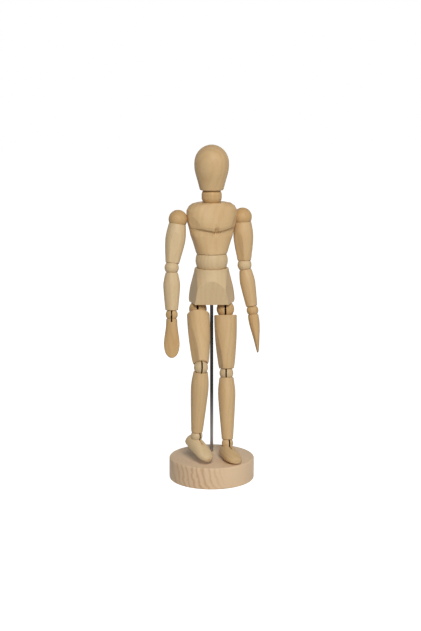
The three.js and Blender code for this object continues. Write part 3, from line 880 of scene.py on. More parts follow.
    def dress(self, *materials: bpy.types.Material) -> "Bench":
        """Gives the piece its materials, the first one all over.

        Args:
            materials: The materials.

        Returns:
            The bench.
        """
        self.piece.data.materials.clear()
        for material in materials:
            self.piece.data.materials.append(material)
        return self

    def darken(self, inside: Callable[[Vector], bool]) -> "Bench":
        """Gives the second material, the painted shade of a slot, to some faces.

        Args:
            inside: Tells if a face's middle belongs to them.

        Returns:
            The bench.
        """
        for face in self.piece.data.polygons:
            if inside(face.center):
                face.material_index = 1
        return self

    def place(self, place: Place, slot: Slot) -> bpy.types.Object:
        """Puts the piece in the figure, in place of its CAD node.

        Args:
            place: The piece's frame.
            slot: The record's material slot, not used.

        Returns:
            The finished piece.
        """
        self.only(self.piece)
        self.piece.name = f"finished_{self.name}"
        self.piece.data.name = self.piece.name
        self.piece.matrix_world = place.matrix
        self.settle()
        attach(self.piece, self.name)
        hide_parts(self.name)
        LOG.info("%s: %d faces", self.piece.name, len(self.piece.data.polygons))
        return self.piece


@dataclass(frozen=True)
class Hardware:
    """Sizes that all joints share.

    Args:
        fit: Gap round a ball or the rod.
        bore_r: Radius of a spring's hole.
        slot: Width of a saw slot.
        web: Wood left behind the slot of a ball.
        edge: Width of a broken edge.
        past: How far a cut runs past the surface.
        wall: How far the painted shade of a slot reaches past its walls.
        floor: How far it reaches past the slot's floor.
        rim: Unshaded wood at the rim of a slot, where the painted shade stops.
    """

    fit: float = 0.3
    bore_r: float = 2.1
    slot: float = 1.3
    web: float = 1.9
    edge: float = 0.5
    past: float = 1.0
    wall: float = 0.12
    floor: float = 0.2
    rim: float = 0.25


HARDWARE = Hardware()
BALL_SANDING = Sanding(0.22, 2)


def slotted_ball(name: str, radius: float, place: Place, wood: Wood, turns: Sequence[tuple[str, float]] = (),
                 slot: float = HARDWARE.slot, web: float = HARDWARE.web) -> None:
    """Makes a joint ball with its saw slot and the slot's painted shade.

    Args:
        name: The CAD node.
        radius: The ball's radius.
        place: Its frame.
        wood: Its wood.
        turns: Turns of the slot from the front, as axis and degrees.
        slot: The slot's width.
        web: Wood left behind it.
    """
    half, out, back = slot / 2.0, radius + HARDWARE.past, radius - web
    bench = Bench(name).ball(radius).saw((-half, -out, -out), (half, back, out)).sand(BALL_SANDING)
    bench.dress(wood.material(f"wood_{name}", place), SawCut().material(f"slot_{name}", place))
    # Faces deep in the slot get its painted shade, and the rim stays unshaded
    wide, deep, shade_edge = half + HARDWARE.wall, back + HARDWARE.floor, radius - HARDWARE.rim
    bench.darken(lambda c: abs(c.x) < wide and c.y < deep and c.length < shade_edge)
    for axis, degrees in turns:
        bench.turned(axis, degrees)
    bench.place(place, Slot.BALL)


@dataclass
class Limb:
    """Turned limb between two balls, its upper ball at the origin.

    Args:
        stations: Half width, half depth and distance below the upper rim.
        top: Upper rim below the upper ball's centre.
        length: From ball to ball.
        end: Lower rim above the lower ball's centre.
        upper: Radius of the upper ball.
        lower: Radius of the lower ball.
        sanding: How it is sanded.
        flat: The long flat, if it has one.
    """

    stations: tuple[tuple[float, float, float], ...]
    top: float
    length: float
    end: float
    upper: float
    lower: float
    sanding: Sanding
    flat: Optional["Flat"] = None

    def turn(self, name: str) -> Bench:
        """Turns the limb, drills it, planes its flat and sands it.

        Args:
            name: The CAD node.

        Returns:
            The bench with the limb on it.
        """
        edge = HARDWARE.edge
        line = smooth_path(self.stations, 7)
        rings = [Ring(-self.top - down, wide, deep) for wide, deep, down in line]
        first, last = rings[0], rings[-1]
        low = self.end - self.length
        rings[0] = Ring(first.z - edge, first.half_x, first.half_y)
        rings[-1] = Ring(low + edge, last.half_x, last.half_y)
        rings.insert(0, Ring(first.z, first.half_x - edge, first.half_y - edge))
        rings.append(Ring(low, last.half_x - edge, last.half_y - edge))
        below = (0.0, 0.0, -self.length)
        bench = Bench(name).rings(rings, 56)
        bench.ball_tool(self.upper + HARDWARE.fit, ORIGIN).ball_tool(self.lower + HARDWARE.fit, below)
        bench.bore(HARDWARE.bore_r, ORIGIN, below)
        if self.flat is not None:
            self.flat.plane(bench, self.length)
        return bench.sand(self.sanding)


@dataclass(frozen=True)
class Flat:
    """Long flat of a limb, which deepens towards the lower ball.

    Args:
        width: Distance from the axis where it starts.
        start: Where it starts, below the upper ball.
        depth: Distance from the axis at the lower ball.
        turn: Its turn about the limb, in radians.
        reach: Half the size of the block that it takes away.
    """

    width: float
    start: float
    depth: float
    turn: float
    reach: float = 60.0

    def plane(self, bench: Bench, length: float) -> None:
        """Planes it onto a limb.

        Args:
            bench: The bench with the limb on it.
            length: The limb's length from ball to ball.
        """
        slope = math.atan2(self.width - self.depth, length - self.start)
        spin = Matrix.Rotation(self.turn, 3, "Z")
        point = spin @ Vector((-self.width, 0.0, -self.start))
        facing = spin @ Vector((-math.cos(slope), 0.0, -math.sin(slope)))
        bpy.ops.object.select_all(action="DESELECT")
        bpy.ops.mesh.primitive_cube_add(size=2.0 * self.reach)
        tool = bpy.context.object
        turn = facing.to_track_quat("X", "Z").to_matrix().to_4x4()
        tool.matrix_world = Matrix.Translation(point + facing * self.reach) @ turn
        bench.combine(tool, "DIFFERENCE")


@dataclass
class Stand:
    """Round base and steel rod."""

    radius: float = 38.4
    height: float = 19.7
    edge: float = 1.4
    rod_r: float = 1.5
    rod_low: float = 6.0
    rod_high: float = 171.3
    rod_tip: float = 0.4
    edge_steps: int = 6
    crease: float = 30.0
    steel: Steel = Steel((0.05, 0.043, 0.038), 0.2, polish=(30.0, 78.0))

    def build(self) -> None:
        """Makes the base and the rod."""
        floor = Place(Vector(), Vector((1.0, 0.0, 0.0)), Vector((0.0, 0.0, 1.0)))
        rod = Place(joint_point("figure_turn"), floor.x, floor.z)
        self.base(floor, rod)
        self.rod(rod)

    def base(self, place: Place, rod: Place) -> None:
        """Turns the base, its grain lying down.

        Args:
            place: The base's frame.
            rod: The rod's frame.
        """
        edge, inner = self.edge, self.radius - self.edge
        arc = [math.radians(90.0 * step / self.edge_steps) for step in range(self.edge_steps + 1)]
        rings = [round_ring(edge - edge * math.cos(angle), inner + edge * math.sin(angle)) for angle in arc]
        top = self.height - edge
        rings += [round_ring(top + edge * math.sin(angle), inner + edge * math.cos(angle)) for angle in arc]
        bench = Bench("base").rings(rings, 128)
        back = rod.origin.y / MM
        low, high = self.rod_low - HARDWARE.fit, self.height + HARDWARE.past
        bench.bore(self.rod_r + HARDWARE.fit, (0.0, back, low), (0.0, back, high))
        bpy.ops.object.shade_smooth_by_angle(angle=math.radians(self.crease))
        wood = Wood(Tone.ROSY, ring=4.6, pith=(28.0, 22.0), contrast=0.06, end_contrast=0.95, end_from=0.05,
                    fade=(-8.0, 14.0))
        bench.dress(wood.material("wood_base", place, LYING)).place(place, Slot.BASE)

    def rod(self, place: Place) -> None:
        """Makes the rod with its rounded tips.

        Args:
            place: The rod's frame.
        """
        tip = self.rod_tip
        profile = [(self.rod_low, self.rod_r - tip), (self.rod_low + tip, self.rod_r)]
        profile += [(self.rod_high - tip, self.rod_r), (self.rod_high, self.rod_r - tip)]
        bench = Bench("rod").rings([round_ring(z, r) for z, r in profile], 32)
        bpy.ops.object.shade_smooth_by_angle(angle=math.radians(self.crease))
        bench.dress(self.steel.material("steel_rod")).place(place, Slot.ROD)


@dataclass
class Torso:
    """Pelvis, waist ball and chest, in the figure's own heights."""

    pelvis_top: float = 190.4
    pelvis_bottom: float = 158.6
    pelvis_line: tuple[tuple[float, float], ...] = (
        (15.3, 189.9), (16.2, 185.5), (18.3, 178.5), (20.7, 171.5), (21.9, 165.0), (22.0, 161.0),
        (20.9, 158.6))
    pelvis_side: tuple[float, float] = (18.0, 15.0)
    side_turn: float = 17.0
    flat_top: tuple[float, float] = (17.7, 180.9)
    flat_bottom: tuple[float, float] = (12.6, 158.6)
    pelvis_pin: float = 176.5
    waist: float = 197.1
    waist_r: float = 14.5
    hip: tuple[float, float] = (12.4, 152.6)
    hip_r: float = 8.0
    neck: float = 254.6
    neck_r: float = 9.2
    neck_pin: float = 241.6
    chest_pin: float = 218.0
    bore_end: float = 2.8
    shoulder: tuple[float, float, float] = (30.1, 3.5, 234.6)
    shoulder_r: float = 8.4
    rod_r: float = 1.5
    rod_top: float = 171.6
    # Chest: height, half width, front depth, back depth, roundness
    chest_line: tuple[tuple[float, ...], ...] = (
        (203.8, 14.0, 14.0, 14.0, 2.0), (209.0, 15.4, 12.9, 13.6, 2.3), (214.5, 17.0, 12.4, 13.2, 2.6),
        (219.5, 18.9, 12.3, 13.0, 2.6), (222.8, 19.8, 12.7, 13.0, 2.3), (224.3, 20.3, 16.0, 13.0, 2.1),
        (227.5, 21.1, 16.9, 13.0, 2.1), (232.0, 22.4, 16.6, 13.2, 2.1), (237.0, 23.1, 15.4, 13.2, 2.1),
        (242.5, 22.9, 13.4, 12.6, 2.2), (246.0, 20.8, 11.8, 11.6, 2.4), (248.3, 17.6, 10.6, 10.6, 2.3),
        (249.2, 13.0, 9.9, 9.9, 2.2))
    dip: float = 3.4
    dip_width: float = 1.7
    dip_z: float = 224.4
    dip_height: float = 3.4
    # The breast's lower edge climbs by this much, at this distance from the breastbone
    shelf_z: float = 224.0
    shelf_climb: float = 4.2
    shelf_half: float = 17.7
    shelf_curve: float = 1.1
    shelf_reach: float = 7.0
    # Bevel from the chest to its sides: distance from the axis, height there, turn from the side, lean
    bevel: tuple[float, float, float, float] = (19.8, 232.0, 38.0, 9.0)
    # Steps between two heights of the chest
    steps: int = 6
    pelvis_sanding: Sanding = Sanding(0.32, 2)
    waist_sanding: Sanding = Sanding(0.38, 3)
    chest_sanding: Sanding = Sanding(0.3, 2)

    @property
    def lower(self) -> Place:
        """The pelvis's frame: on the rod's axis at the floor, facing as the hips do."""
        return Place(joint_point("figure_turn"), joint_axis("waist_bend"), Vector((0.0, 0.0, 1.0)))

    @property
    def upper(self) -> Place:
        """The chest's frame: the same, facing as the shoulders do."""
        return Place(joint_point("figure_turn"), joint_axis("neck_nod"), Vector((0.0, 0.0, 1.0)))

    def build(self) -> None:
        """Makes the three pieces."""
        self.pelvis()
        self.ball()
        self.chest()

    def pelvis(self) -> None:
        """Turns the pelvis, planes its sides, front and back, and drills it."""
        line = smooth_path(self.pelvis_line, 5)
        rings = [round_ring(self.pelvis_top, self.pelvis_line[0][0] - HARDWARE.edge)]
        rings += [round_ring(z, r) for r, z in line]
        bench = Bench("pelvis").rings(rings, 72)
        wide, narrow = self.pelvis_side
        turn = math.radians(self.side_turn)
        slope = math.atan2(wide - narrow, self.pelvis_top - self.pelvis_bottom)
        run = self.flat_top[0] - self.flat_bottom[0]
        rise = self.flat_top[1] - self.flat_bottom[1]
        for side in SIDES:
            level = Vector((side * math.cos(turn), -math.sin(turn), 0.0))
            outward = level * math.cos(slope) + Vector((0.0, 0.0, math.sin(slope)))
            bench.plane(level * wide + Vector((0.0, 0.0, self.pelvis_bottom)), outward)
            facing = Vector((0.0, side * rise, -run)).normalized()
            bench.plane((0.0, side * self.flat_bottom[0], self.flat_bottom[1]), facing)
        bench.ball_tool(self.waist_r + HARDWARE.fit, (0.0, 0.0, self.waist))
        bench.bore(HARDWARE.bore_r, (0.0, 0.0, self.pelvis_pin - self.bore_end), (0.0, 0.0, self.waist))
        low = self.pelvis_bottom - HARDWARE.past
        bench.bore(self.rod_r + HARDWARE.fit, (0.0, 0.0, low), (0.0, 0.0, self.rod_top))
        for side in SIDES:
            x = side * self.hip[0]
            bench.ball_tool(self.hip_r + HARDWARE.fit, (x, 0.0, self.hip[1]))
            bench.bore(HARDWARE.bore_r, (x, 0.0, self.hip[1]), (x, 0.0, self.pelvis_pin + self.bore_end))
        bench.sand(self.pelvis_sanding)
        wood = Wood(Tone.PALE, ring=4.2, pith=(60.0, 14.0), contrast=0.22)
        bench.dress(wood.material("wood_pelvis", self.lower.raised(170.0))).place(self.lower, Slot.LIMB)

    def ball(self) -> None:
        """Turns the waist ball and drills it."""
        place = self.lower.raised(self.waist)
        bench = Bench("waist_ball").ball(self.waist_r)
        out = self.waist_r + HARDWARE.past
        bench.bore(HARDWARE.bore_r, (0.0, 0.0, -out), (0.0, 0.0, out)).sand(self.waist_sanding)
        wood = Wood(Tone.PALE, ring=3.0, pith=(-40.0, 30.0))
        bench.dress(wood.material("wood_waist_ball", place)).place(place, Slot.BALL)

    def chest_point(self, point: Vector) -> Vector:
        """Where a point of the round blank lies on the carved chest.

        Args:
            point: The point on the blank, whose radius is 1.

        Returns:
            The carved point.
        """
        half, front, back, round_ = self.chest_at(point.z)
        angle = math.atan2(point.y, point.x)
        radius = math.hypot(point.x, point.y)
        c, s = math.cos(angle), math.sin(angle)
        x = radius * half * math.copysign(abs(c) ** (2.0 / round_), c)
        climb = self.shelf_climb * abs(x / self.shelf_half) ** self.shelf_curve
        near = math.exp(-((point.z - self.shelf_z) / self.shelf_reach) ** 2)
        front = self.chest_at(max(point.z - climb * near, self.chest_line[0][0]))[1]
        depth = front if s < 0.0 else back
        y = radius * depth * math.copysign(abs(s) ** (2.0 / round_), s)
        if s < 0.0:
            notch = math.exp(-((x / self.dip_width) ** 2) - ((point.z - self.dip_z) / self.dip_height) ** 2)
            y += self.dip * radius * notch
        return Vector((x, y, point.z))

    def chest_at(self, z: float) -> tuple[float, ...]:
        """Half width, front depth, back depth and roundness of the chest at a height.

        Args:
            z: The height.

        Returns:
            The four numbers.
        """
        line = self.chest_line
        for low, high in zip(line, line[1:]):
            if z <= high[0] + 1e-6:
                t = (z - low[0]) / (high[0] - low[0])
                return tuple(a + (b - a) * t for a, b in zip(low[1:], high[1:]))
        return line[-1][1:]

    def chest(self) -> None:
        """Carves the chest and drills it."""
        heights: list[float] = []
        for low, high in zip(self.chest_line, self.chest_line[1:]):
            heights += [low[0] + (high[0] - low[0]) * step / self.steps for step in range(self.steps)]
        heights.append(self.chest_line[-1][0])
        bench = Bench("chest").rings([round_ring(z, 1.0) for z in heights], 192).carve(self.chest_point)
        out, z, turn, lean = self.bevel
        turn, lean = math.radians(turn), math.radians(lean)
        for side in SIDES:
            level = Vector((side * math.cos(turn), -math.sin(turn), 0.0))
            facing = level * math.cos(lean) - Vector((0.0, 0.0, math.sin(lean)))
            bench.plane(level * out + Vector((0.0, 0.0, z)), facing)
        bench.ball_tool(self.waist_r + HARDWARE.fit, (0.0, 0.0, self.waist))
        bench.ball_tool(self.neck_r + HARDWARE.fit, (0.0, 0.0, self.neck))
        bench.bore(HARDWARE.bore_r, (0.0, 0.0, self.waist), (0.0, 0.0, self.chest_pin + self.bore_end))
        bench.bore(HARDWARE.bore_r, (0.0, 0.0, self.neck_pin - self.bore_end), (0.0, 0.0, self.neck))
        x, y, z = self.shoulder
        bench.bore(HARDWARE.bore_r, (-x, y, z), (x, y, z))
        for side in SIDES:
            bench.ball_tool(self.shoulder_r + HARDWARE.fit, (side * x, y, z))
        bench.sand(self.chest_sanding)
        wood = Wood(Tone.PLAIN, ring=4.6, pith=(-30.0, 44.0), contrast=0.3)
        bench.dress(wood.material("wood_chest", self.upper.raised(225.0))).place(self.upper, Slot.LIMB)


@dataclass
class Head:
    """Neck barrel and egg-shaped head, in the figure's own heights."""

    bottom: float = 260.0
    bottom_r: float = 10.6
    max_r: float = 15.4
    max_z: float = 283.6
    top: float = 300.0
    flare: float = 3.2
    rise: float = 14.0
    round_: float = 9.0
    pin_z: float = 269.0
    bore_end: float = 2.8
    neck_z: float = 254.6
    neck_r: float = 9.2
    belt_r: float = 9.0
    neck_end: float = 84.0
    neck_sanding: Sanding = Sanding(0.3, 3)
    head_sanding: Sanding = Sanding(0.38, 4)

    def build(self, torso: Place) -> None:
        """Makes the neck and the head.

        Args:
            torso: The torso's frame.
        """
        self.neck(torso.raised(self.neck_z))
        self.head(torso)

    def neck(self, place: Place) -> None:
        """Turns the neck and drills it.

        Args:
            place: The neck's frame.
        """
        rings = [Ring(r.z, min(r.half_x, self.belt_r), min(r.half_y, self.belt_r))
                 for r in arc_rings(self.neck_r, 0.0, -self.neck_end, self.neck_end, 40)]
        out = self.neck_r + HARDWARE.past
        bench = Bench("neck").rings(rings, 64)
        bench.bore(HARDWARE.bore_r, (0.0, 0.0, -out), (0.0, 0.0, out)).sand(self.neck_sanding)
        wood = Wood(Tone.WARM, ring=2.6, pith=(22.0, -30.0))
        bench.dress(wood.material("wood_neck", place)).place(place, Slot.BALL)

    def cheek(self, t: float) -> tuple[float, float]:
        """Radius and height on the curve from the jaw to the widest line.

        Args:
            t: From 0 at the jaw to 1 at the widest line.

        Returns:
            Radius and height.
        """
        edge = self.bottom + HARDWARE.edge
        points = ((self.bottom_r, edge), (self.bottom_r + self.flare, self.bottom + self.rise),
                  (self.max_r, self.max_z - self.round_), (self.max_r, self.max_z))
        weights = ((1 - t) ** 3, 3 * t * (1 - t) ** 2, 3 * t * t * (1 - t), t ** 3)
        return tuple(sum(w * p[k] for w, p in zip(weights, points)) for k in range(2))

    def head(self, place: Place) -> None:
        """Turns the head and drills it.

        Args:
            place: The torso's frame.
        """
        rings = [round_ring(self.bottom, self.bottom_r - HARDWARE.edge)]
        rings += [round_ring(z, r) for r, z in (self.cheek(step / 16.0) for step in range(17))]
        crown = (self.top - self.max_z) / self.max_r
        rings += arc_rings(self.max_r, self.max_z, 6.0, 88.0, 18, crown)
        bench = Bench("head").rings(rings, 72, pointed=True)
        bench.ball_tool(self.neck_r + HARDWARE.fit, (0.0, 0.0, self.neck_z))
        bench.bore(HARDWARE.bore_r, (0.0, 0.0, self.neck_z), (0.0, 0.0, self.pin_z + self.bore_end))
        bench.sand(self.head_sanding)
        wood = Wood(Tone.PLAIN, ring=3.8, pith=(26.0, 30.0), contrast=0.34)
        bench.dress(wood.material("wood_head", place.raised(280.0))).place(place, Slot.LIMB)


@dataclass
class EndSlot:
    """Ball and saw slot at the upper end of a hand or foot.

    Args:
        ball: The ball's radius.
        low: The slot's lower end, below the ball's centre.
        back: Its floor, behind the ball's centre.
        end: How far its painted shade reaches past its lower end.
        sanding: How the piece is sanded.
    """

    ball: float
    low: float
    back: float
    end: float = 0.1
    sanding: Sanding = Sanding(0.25, 3)

    def make(self, bench: Bench, wood: bpy.types.Material, place: Place,
             inside: Callable[[Vector], bool]) -> None:
        """Joins the ball on, saws the slot, sands and dresses the piece, paints the slot's shade and places
        the piece.

        Args:
            bench: The bench with the hand or foot on it.
            wood: Its wood.
            place: Its frame.
            inside: Tells if a point lies deeper than the unshaded rim of the slot, where its painted shade
                goes.
        """
        half = HARDWARE.slot / 2.0
        high = self.ball + HARDWARE.past
        bench.ball_tool(self.ball, ORIGIN, "UNION")
        bench.saw((-half, -2.0 * self.ball, -self.low), (half, self.back, high)).sand(self.sanding)
        # Faces deep in the slot get its painted shade
        wide, low, deep = half + HARDWARE.wall, -self.low - self.end, self.back + HARDWARE.floor
        bench.dress(wood, SawCut().material(f"slot_{bench.name}", place))
        bench.darken(lambda c: abs(c.x) < wide and c.z > low and c.y < deep and inside(c))
        bench.place(place, Slot.LIMB)


@dataclass
class SidePieces:
    """What the arm and the leg of one side share.

    Args:
        side: The side.
    """

    side: Side

    @property
    def sign(self) -> float:
        """Sign of X on this side."""
        return float(self.side.value)

    @property
    def tone(self) -> Tone:
        """Wood of the pieces that differ between the sides."""
        return Tone.PALE if self.side is Side.RIGHT else Tone.PLAIN

    def name(self, piece: str) -> str:
        """A piece's or joint's full name."""
        return f"{self.side.word}_{piece}"

    def axis(self, joint: str, sign: float = 1.0) -> Vector:
        """Direction of one of this side's joints.

        Args:
            joint: The joint, without its side.
            sign: -1 turns the direction round.

        Returns:
            The unit direction.
        """
        return joint_axis(self.name(joint), sign)

    def point(self, joint: str) -> Vector:
        """Centre of one of this side's joints, in metres."""
        return joint_point(self.name(joint))

    def limb(self, piece: str, limb: Limb, place: Place, wood: Wood) -> None:
        """Makes a turned limb.

        Args:
            piece: The piece, without its side.
            limb: Its shape.
            place: Its frame.
            wood: Its wood.
        """
        bench = limb.turn(self.name(piece))
        bench.dress(wood.material(f"wood_{bench.name}", place)).place(place, Slot.LIMB)


@dataclass
class Arm(SidePieces):
    """Shoulder ball, upper arm, elbow ball, forearm and hand of one side.

    Args:
        wrist_rest: How far the hand is bent, in degrees.
    """

    wrist_rest: float
    shoulder_r: float = 8.4
    slot_turn: float = 45.0
    elbow_r: float = 6.4
    wrist: EndSlot = field(default_factory=lambda: EndSlot(ball=5.4, low=6.6, back=3.0))
    upper: Limb = field(default_factory=lambda: Limb(
        ((7.4, 7.6, 0.0), (8.5, 8.9, 10.0), (8.2, 8.6, 19.0), (6.0, 6.1, 35.4)),
        top=4.1, length=43.2, end=3.7, upper=8.4, lower=6.4, sanding=Sanding(0.32, 3),
        flat=Flat(width=8.5, start=12.0, depth=4.7, turn=-0.25)))
    fore: Limb = field(default_factory=lambda: Limb(
        ((5.5, 5.5, 0.0), (7.3, 6.8, 9.0), (7.3, 6.7, 16.0), (5.7, 5.2, 33.8)),
        top=4.1, length=41.6, end=3.7, upper=6.4, lower=5.4, sanding=Sanding(0.32, 5)))
    # Hand: distance below the wrist, half width, palm depth, back depth
    hand_line: tuple[tuple[float, ...], ...] = (
        (38.6, 1.1, 0.5, 0.7), (37.7, 2.9, 0.7, 1.1), (35.4, 5.0, 1.0, 1.7), (32.0, 6.3, 1.5, 2.3),
        (27.0, 7.0, 2.1, 3.1), (21.5, 6.7, 3.0, 4.0), (15.5, 5.8, 4.0, 4.8), (10.5, 5.2, 4.6, 5.1),
        (7.4, 5.0, 4.8, 5.0), (4.0, 4.9, 4.8, 4.9))
    # Below this distance under the wrist, the slot lies in the hand's neck, which is this deep
    neck: tuple[float, float] = (2.5, 4.6)

    def build(self) -> None:
        """Makes the five pieces."""
        swing, turn = self.axis("shoulder_swing", -1.0), self.axis("forearm_turn", self.sign)
        raised = swing.cross(self.axis("arm_raise", -self.sign))
        shoulder = Place(self.point("shoulder_swing"), swing, raised)
        upper = Place(shoulder.origin, self.axis("elbow_roll", -1.0), self.axis("arm_twist", self.sign))
        fore = Place(self.point("forearm_turn"), self.axis("wrist_bend", -1.0), turn)
        elbow = Place(fore.origin, upper.x, (upper.z + fore.z).normalized())
        hand = Place(self.point("wrist_bend"), fore.x, fore.z).tipped(-self.wrist_rest)
        slot_turn = self.slot_turn if self.side is Side.RIGHT else 180.0 - self.slot_turn
        slotted_ball(self.name("shoulder_ball"), self.shoulder_r, shoulder,
                     Wood(Tone.WARM, ring=2.8, pith=(18.0, 26.0)), (("Z", 90.0), ("Y", slot_turn)))
        self.limb("upper_arm", self.upper, upper, Wood(self.tone, ring=3.2, pith=(30.0, 18.0 * self.sign)))
        slotted_ball(self.name("elbow_ball"), self.elbow_r, elbow,
                     Wood(Tone.PALE, ring=2.4, pith=(20.0, -17.0)))
        self.limb("forearm", self.fore, fore, Wood(self.tone, ring=3.6, pith=(-25.0, 28.0 * self.sign)))
        self.hand(hand)

    def in_hand(self, point: Vector) -> bool:
        """Tells if a point lies deeper than the unshaded rim of the hand's slot, where its painted shade
        goes.
        """
        below, neck = self.neck
        reach = neck if point.z < -below else self.wrist.ball
        return math.hypot(point.y, max(point.z, 0.0)) < reach - HARDWARE.rim

    def hand(self, place: Place) -> None:
        """Carves the hand and saws its slot.

        Args:
            place: Its frame.
        """
        name = self.name("hand")
        line = smooth_path(self.hand_line, 4)
        rings = [Ring(-down, half, (palm + back) / 2.0, (back - palm) / 2.0)
                 for down, half, palm, back in line]
        bench = Bench(name).rings(rings, 56)
        wood = Wood(Tone.WARM, ring=3.0, pith=(14.0, 36.0 * self.sign), contrast=0.4)
        self.wrist.make(bench, wood.material(f"wood_{name}", place), place, self.in_hand)


@dataclass
class Leg(SidePieces):
    """Hip ball, thigh, knee ball, calf and foot of one side.

    Args:
        toe_rest: How far the toe points down, in degrees.
    """

    toe_rest: float
    hip_r: float = 8.0
    hip_slot: float = 1.6
    hip_web: float = 5.0
    knee_r: float = 6.3
    ankle: EndSlot = field(default_factory=lambda: EndSlot(ball=5.2, low=3.4, back=4.0))
    sole: float = 11.4
    sole_round: float = 5.0
    sole_lip: float = 2.0
    thigh: Limb = field(default_factory=lambda: Limb(
        ((10.2, 10.2, 0.0), (10.1, 10.1, 12.0), (9.4, 9.4, 26.0), (7.9, 7.9, 42.0), (6.8, 6.8, 48.5)),
        top=5.2, length=57.6, end=3.9, upper=8.0, lower=6.3, sanding=Sanding(0.36, 3),
        flat=Flat(width=10.1, start=19.0, depth=4.6, turn=0.5)))
    calf: Limb = field(default_factory=lambda: Limb(
        ((6.4, 6.4, 0.0), (7.8, 7.8, 12.0), (7.3, 7.3, 26.0), (5.1, 5.1, 56.0)),
        top=3.8, length=63.2, end=3.4, upper=6.3, lower=5.2, sanding=Sanding(0.34, 5)))
    # Foot from heel to toe: distance forward, half width, top above the sole, roundness of the top
    foot_line: tuple[tuple[float, ...], ...] = (
        (-7.8, 2.8, 5.6, 2.2), (-7.0, 4.4, 7.4, 2.2), (-4.4, 5.7, 9.2, 2.2), (0.0, 6.4, 10.4, 2.2),
        (5.4, 6.9, 10.2, 2.2), (11.5, 7.4, 8.8, 2.3), (16.4, 7.3, 7.2, 2.4), (20.2, 6.2, 5.8, 2.4),
        (22.8, 4.3, 4.6, 2.3), (24.0, 1.9, 3.3, 2.2))

    def build(self) -> None:
        """Makes the five pieces."""
        swing, turn = self.axis("hip_swing", -1.0), self.axis("calf_turn", self.sign)
        hip = Place(self.point("leg_spread"), swing, swing.cross(self.axis("leg_spread", -self.sign)))
        thigh = Place(hip.origin, self.axis("knee_roll"), self.axis("thigh_twist", self.sign))
        calf = Place(self.point("calf_turn"), self.axis("ankle_bend"), turn)
        knee = Place(calf.origin, thigh.x, (thigh.z + calf.z).normalized())
        foot = Place(self.point("ankle_bend"), calf.x, calf.z).tipped(self.toe_rest)
        slotted_ball(self.name("hip_ball"), self.hip_r, hip, Wood(Tone.WARM, ring=2.8, pith=(24.0, 15.0)),
                     slot=self.hip_slot, web=self.hip_web)
        self.limb("thigh", self.thigh, thigh, Wood(Tone.PLAIN, ring=3.8, pith=(28.0 * self.sign, 30.0)))
        slotted_ball(self.name("knee_ball"), self.knee_r, knee, Wood(Tone.PALE, ring=2.4, pith=(-19.0, 16.0)))
        self.limb("calf", self.calf, calf, Wood(Tone.PLAIN, ring=3.3, pith=(35.0, 22.0 * self.sign)))
        self.foot(foot)

    def foot_point(self, point: Vector) -> Vector:
        """Where a point of the foot's round blank lies on the carved foot.

        Args:
            point: The point on the blank, which stands along Z with radius 1.

        Returns:
            The carved point, with the toe on -Y and the ankle at the origin.
        """
        line = smooth_path(self.foot_line, 4)
        forward, half, rise, round_ = min(line, key=lambda entry: abs(entry[0] - point.z))
        angle, radius = math.atan2(point.y, point.x), math.hypot(point.x, point.y)
        c, s = math.cos(angle), math.sin(angle)
        power = 2.0 / (self.sole_round if s < 0.0 else round_)
        x = radius * half * math.copysign(abs(c) ** power, c)
        depth = self.sole_lip if s < 0.0 else rise - self.sole_lip
        up = radius * depth * math.copysign(abs(s) ** power, s)
        return Vector((x, -forward, up + self.sole_lip - self.sole))

    def foot(self, place: Place) -> None:
        """Carves the foot and saws its slot.

        Args:
            place: Its frame.
        """
        name = self.name("foot")
        rings = [round_ring(row[0], 1.0) for row in smooth_path(self.foot_line, 4)]
        bench = Bench(name).rings(rings, 64).carve(self.foot_point)
        wood = Wood(self.tone, ring=3.4, pith=(20.0, 30.0 * self.sign), contrast=0.3)
        # The ankle's slot gets its painted shade inside this radius
        shade_edge = self.ankle.ball - HARDWARE.rim
        material = wood.material(f"wood_{name}", place, LYING)
        self.ankle.make(bench, material, place, lambda point: point.length < shade_edge)


@dataclass
class Inside:
    """Springs and pins, which stay as the CAD made them and get their steel."""

    spring: Steel = Steel((0.12, 0.115, 0.11), 0.32)
    pin: Steel = Steel((0.16, 0.155, 0.15), 0.34)

    def build(self) -> None:
        """Dresses every spring and pin."""
        finishes = {"spring": self.spring.material("steel_spring"), "pin": self.pin.material("steel_pin")}
        for name, node in frame["nodes"].items():
            for ending, material in finishes.items():
                if name.endswith(f"_{ending}"):
                    node.data.materials.clear()
                    node.data.materials.append(material)
                    LOG.info("%s: %s steel", name, ending)


@dataclass(frozen=True)
class Lamp:
    """Soft lamp that looks at the figure.

    Args:
        name: Its name.
        at: Its place in metres.
        size: Its width in metres.
        energy: Its power in watts.
        aim: Height that it looks at, in metres.
    """

    name: str
    at: tuple[float, float, float]
    size: float
    energy: float
    aim: float = 0.16

    def hang(self) -> None:
        """Hangs the lamp."""
        light = bpy.data.lights.new(self.name, "AREA")
        light.energy = self.energy
        light.size = self.size
        lamp = bpy.data.objects.new(self.name, light)
        bpy.context.scene.collection.objects.link(lamp)
        lamp.location = self.at
        look = Vector((0.0, 0.0, self.aim)) - Vector(self.at)
        lamp.rotation_euler = look.to_track_quat("-Z", "Y").to_euler()


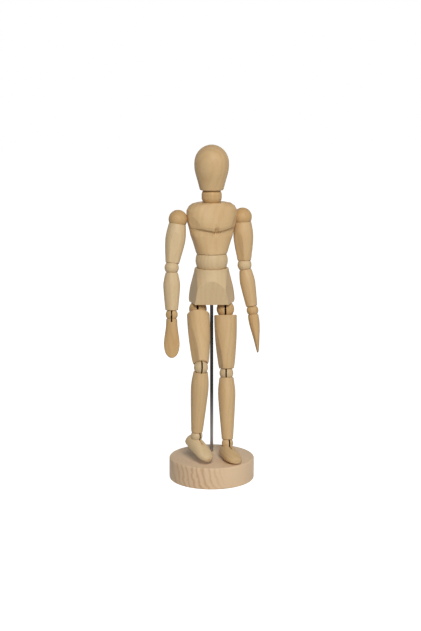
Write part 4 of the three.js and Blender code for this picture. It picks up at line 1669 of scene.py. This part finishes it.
@dataclass
class Studio:
    """Pale floor, soft light and the camera.

    Args:
        eye: The camera's place in millimetres.
        pitch: How far it looks down, in degrees.
        lens: Focal length for a 36 mm tall picture.
    """

    eye: tuple[float, float, float] = (-1.04, -1200.0, 384.2)
    pitch: float = 11.06
    lens: float = 78.33
    floor_half: float = 4.0
    floor_white: float = 0.62
    floor_glow: float = 0.95
    world_light: float = 0.08
    key: Lamp = Lamp("key", (0.3, -2.7, 1.95), 1.1, 75.0)
    fill: Lamp = Lamp("fill", (2.4, -0.9, 1.0), 1.4, 9.0)

    def build(self) -> None:
        """Sets up the studio."""
        self.camera()
        self.world()
        self.floor()
        self.key.hang()
        self.fill.hang()
        bpy.context.scene.view_settings.view_transform = "Standard"

    def camera(self) -> None:
        """Puts the camera where the photograph was taken from."""
        lens = bpy.data.cameras.new("camera")
        lens.sensor_fit = "VERTICAL"
        lens.sensor_height = 36.0
        lens.lens = self.lens
        lens.clip_start = 0.01
        camera = bpy.data.objects.new("camera", lens)
        bpy.context.scene.collection.objects.link(camera)
        camera.location = Vector(self.eye) * MM
        camera.rotation_euler = (math.radians(90.0 - self.pitch), 0.0, 0.0)
        bpy.context.scene.camera = camera

    def world(self) -> None:
        """Surrounds the scene with even light in front of a white backdrop."""
        world = bpy.data.worlds.new("studio")
        bpy.context.scene.world = world
        graph = Graph(world)
        level = graph.backdrop_ray() * (1.0 - self.world_light) + self.world_light
        light = graph.node("ShaderNodeBackground", {}, {"Color": (1.0, 1.0, 1.0, 1.0), "Strength": level})
        graph.node("ShaderNodeOutputWorld", {}, {"Surface": light.outputs[0]})

    def floor(self) -> None:
        """Lays the floor, white to the camera and shaded under the base."""
        bpy.ops.object.select_all(action="DESELECT")
        bpy.ops.mesh.primitive_plane_add(size=2.0 * self.floor_half, location=(0.0, 0.0, -0.0002))
        floor = bpy.context.object
        floor.name = "floor"
        bpy.ops.object.transform_apply(location=True, rotation=True, scale=True)
        graph = Graph.material("floor")
        glow = graph.mix(graph.backdrop_ray(), (0.0, 0.0, 0.0), (self.floor_glow,) * 3)
        shader = graph.node("ShaderNodeBsdfPrincipled", {}, {
            "Base Color": (self.floor_white,) * 3 + (1.0,),
            "Roughness": 0.9,
            "Specular IOR Level": 0.0,
            "Emission Color": glow,
            "Emission Strength": 1.0,
        })
        graph.node("ShaderNodeOutputMaterial", {}, {"Surface": shader.outputs[0]})
        floor.data.materials.append(graph.owner)


def main() -> None:
    """Builds the figure from the stand up, then the studio round it."""
    logging.basicConfig(level=logging.INFO, format="%(message)s")
    Stand().build()
    torso = Torso()
    torso.build()
    Head().build(torso.upper)
    Arm(Side.RIGHT, wrist_rest=0.0).build()
    Arm(Side.LEFT, wrist_rest=3.0).build()
    Leg(Side.RIGHT, toe_rest=20.0).build()
    Leg(Side.LEFT, toe_rest=14.0).build()
    Inside().build()
    Studio().build()


if __name__ == "__main__":
    main()
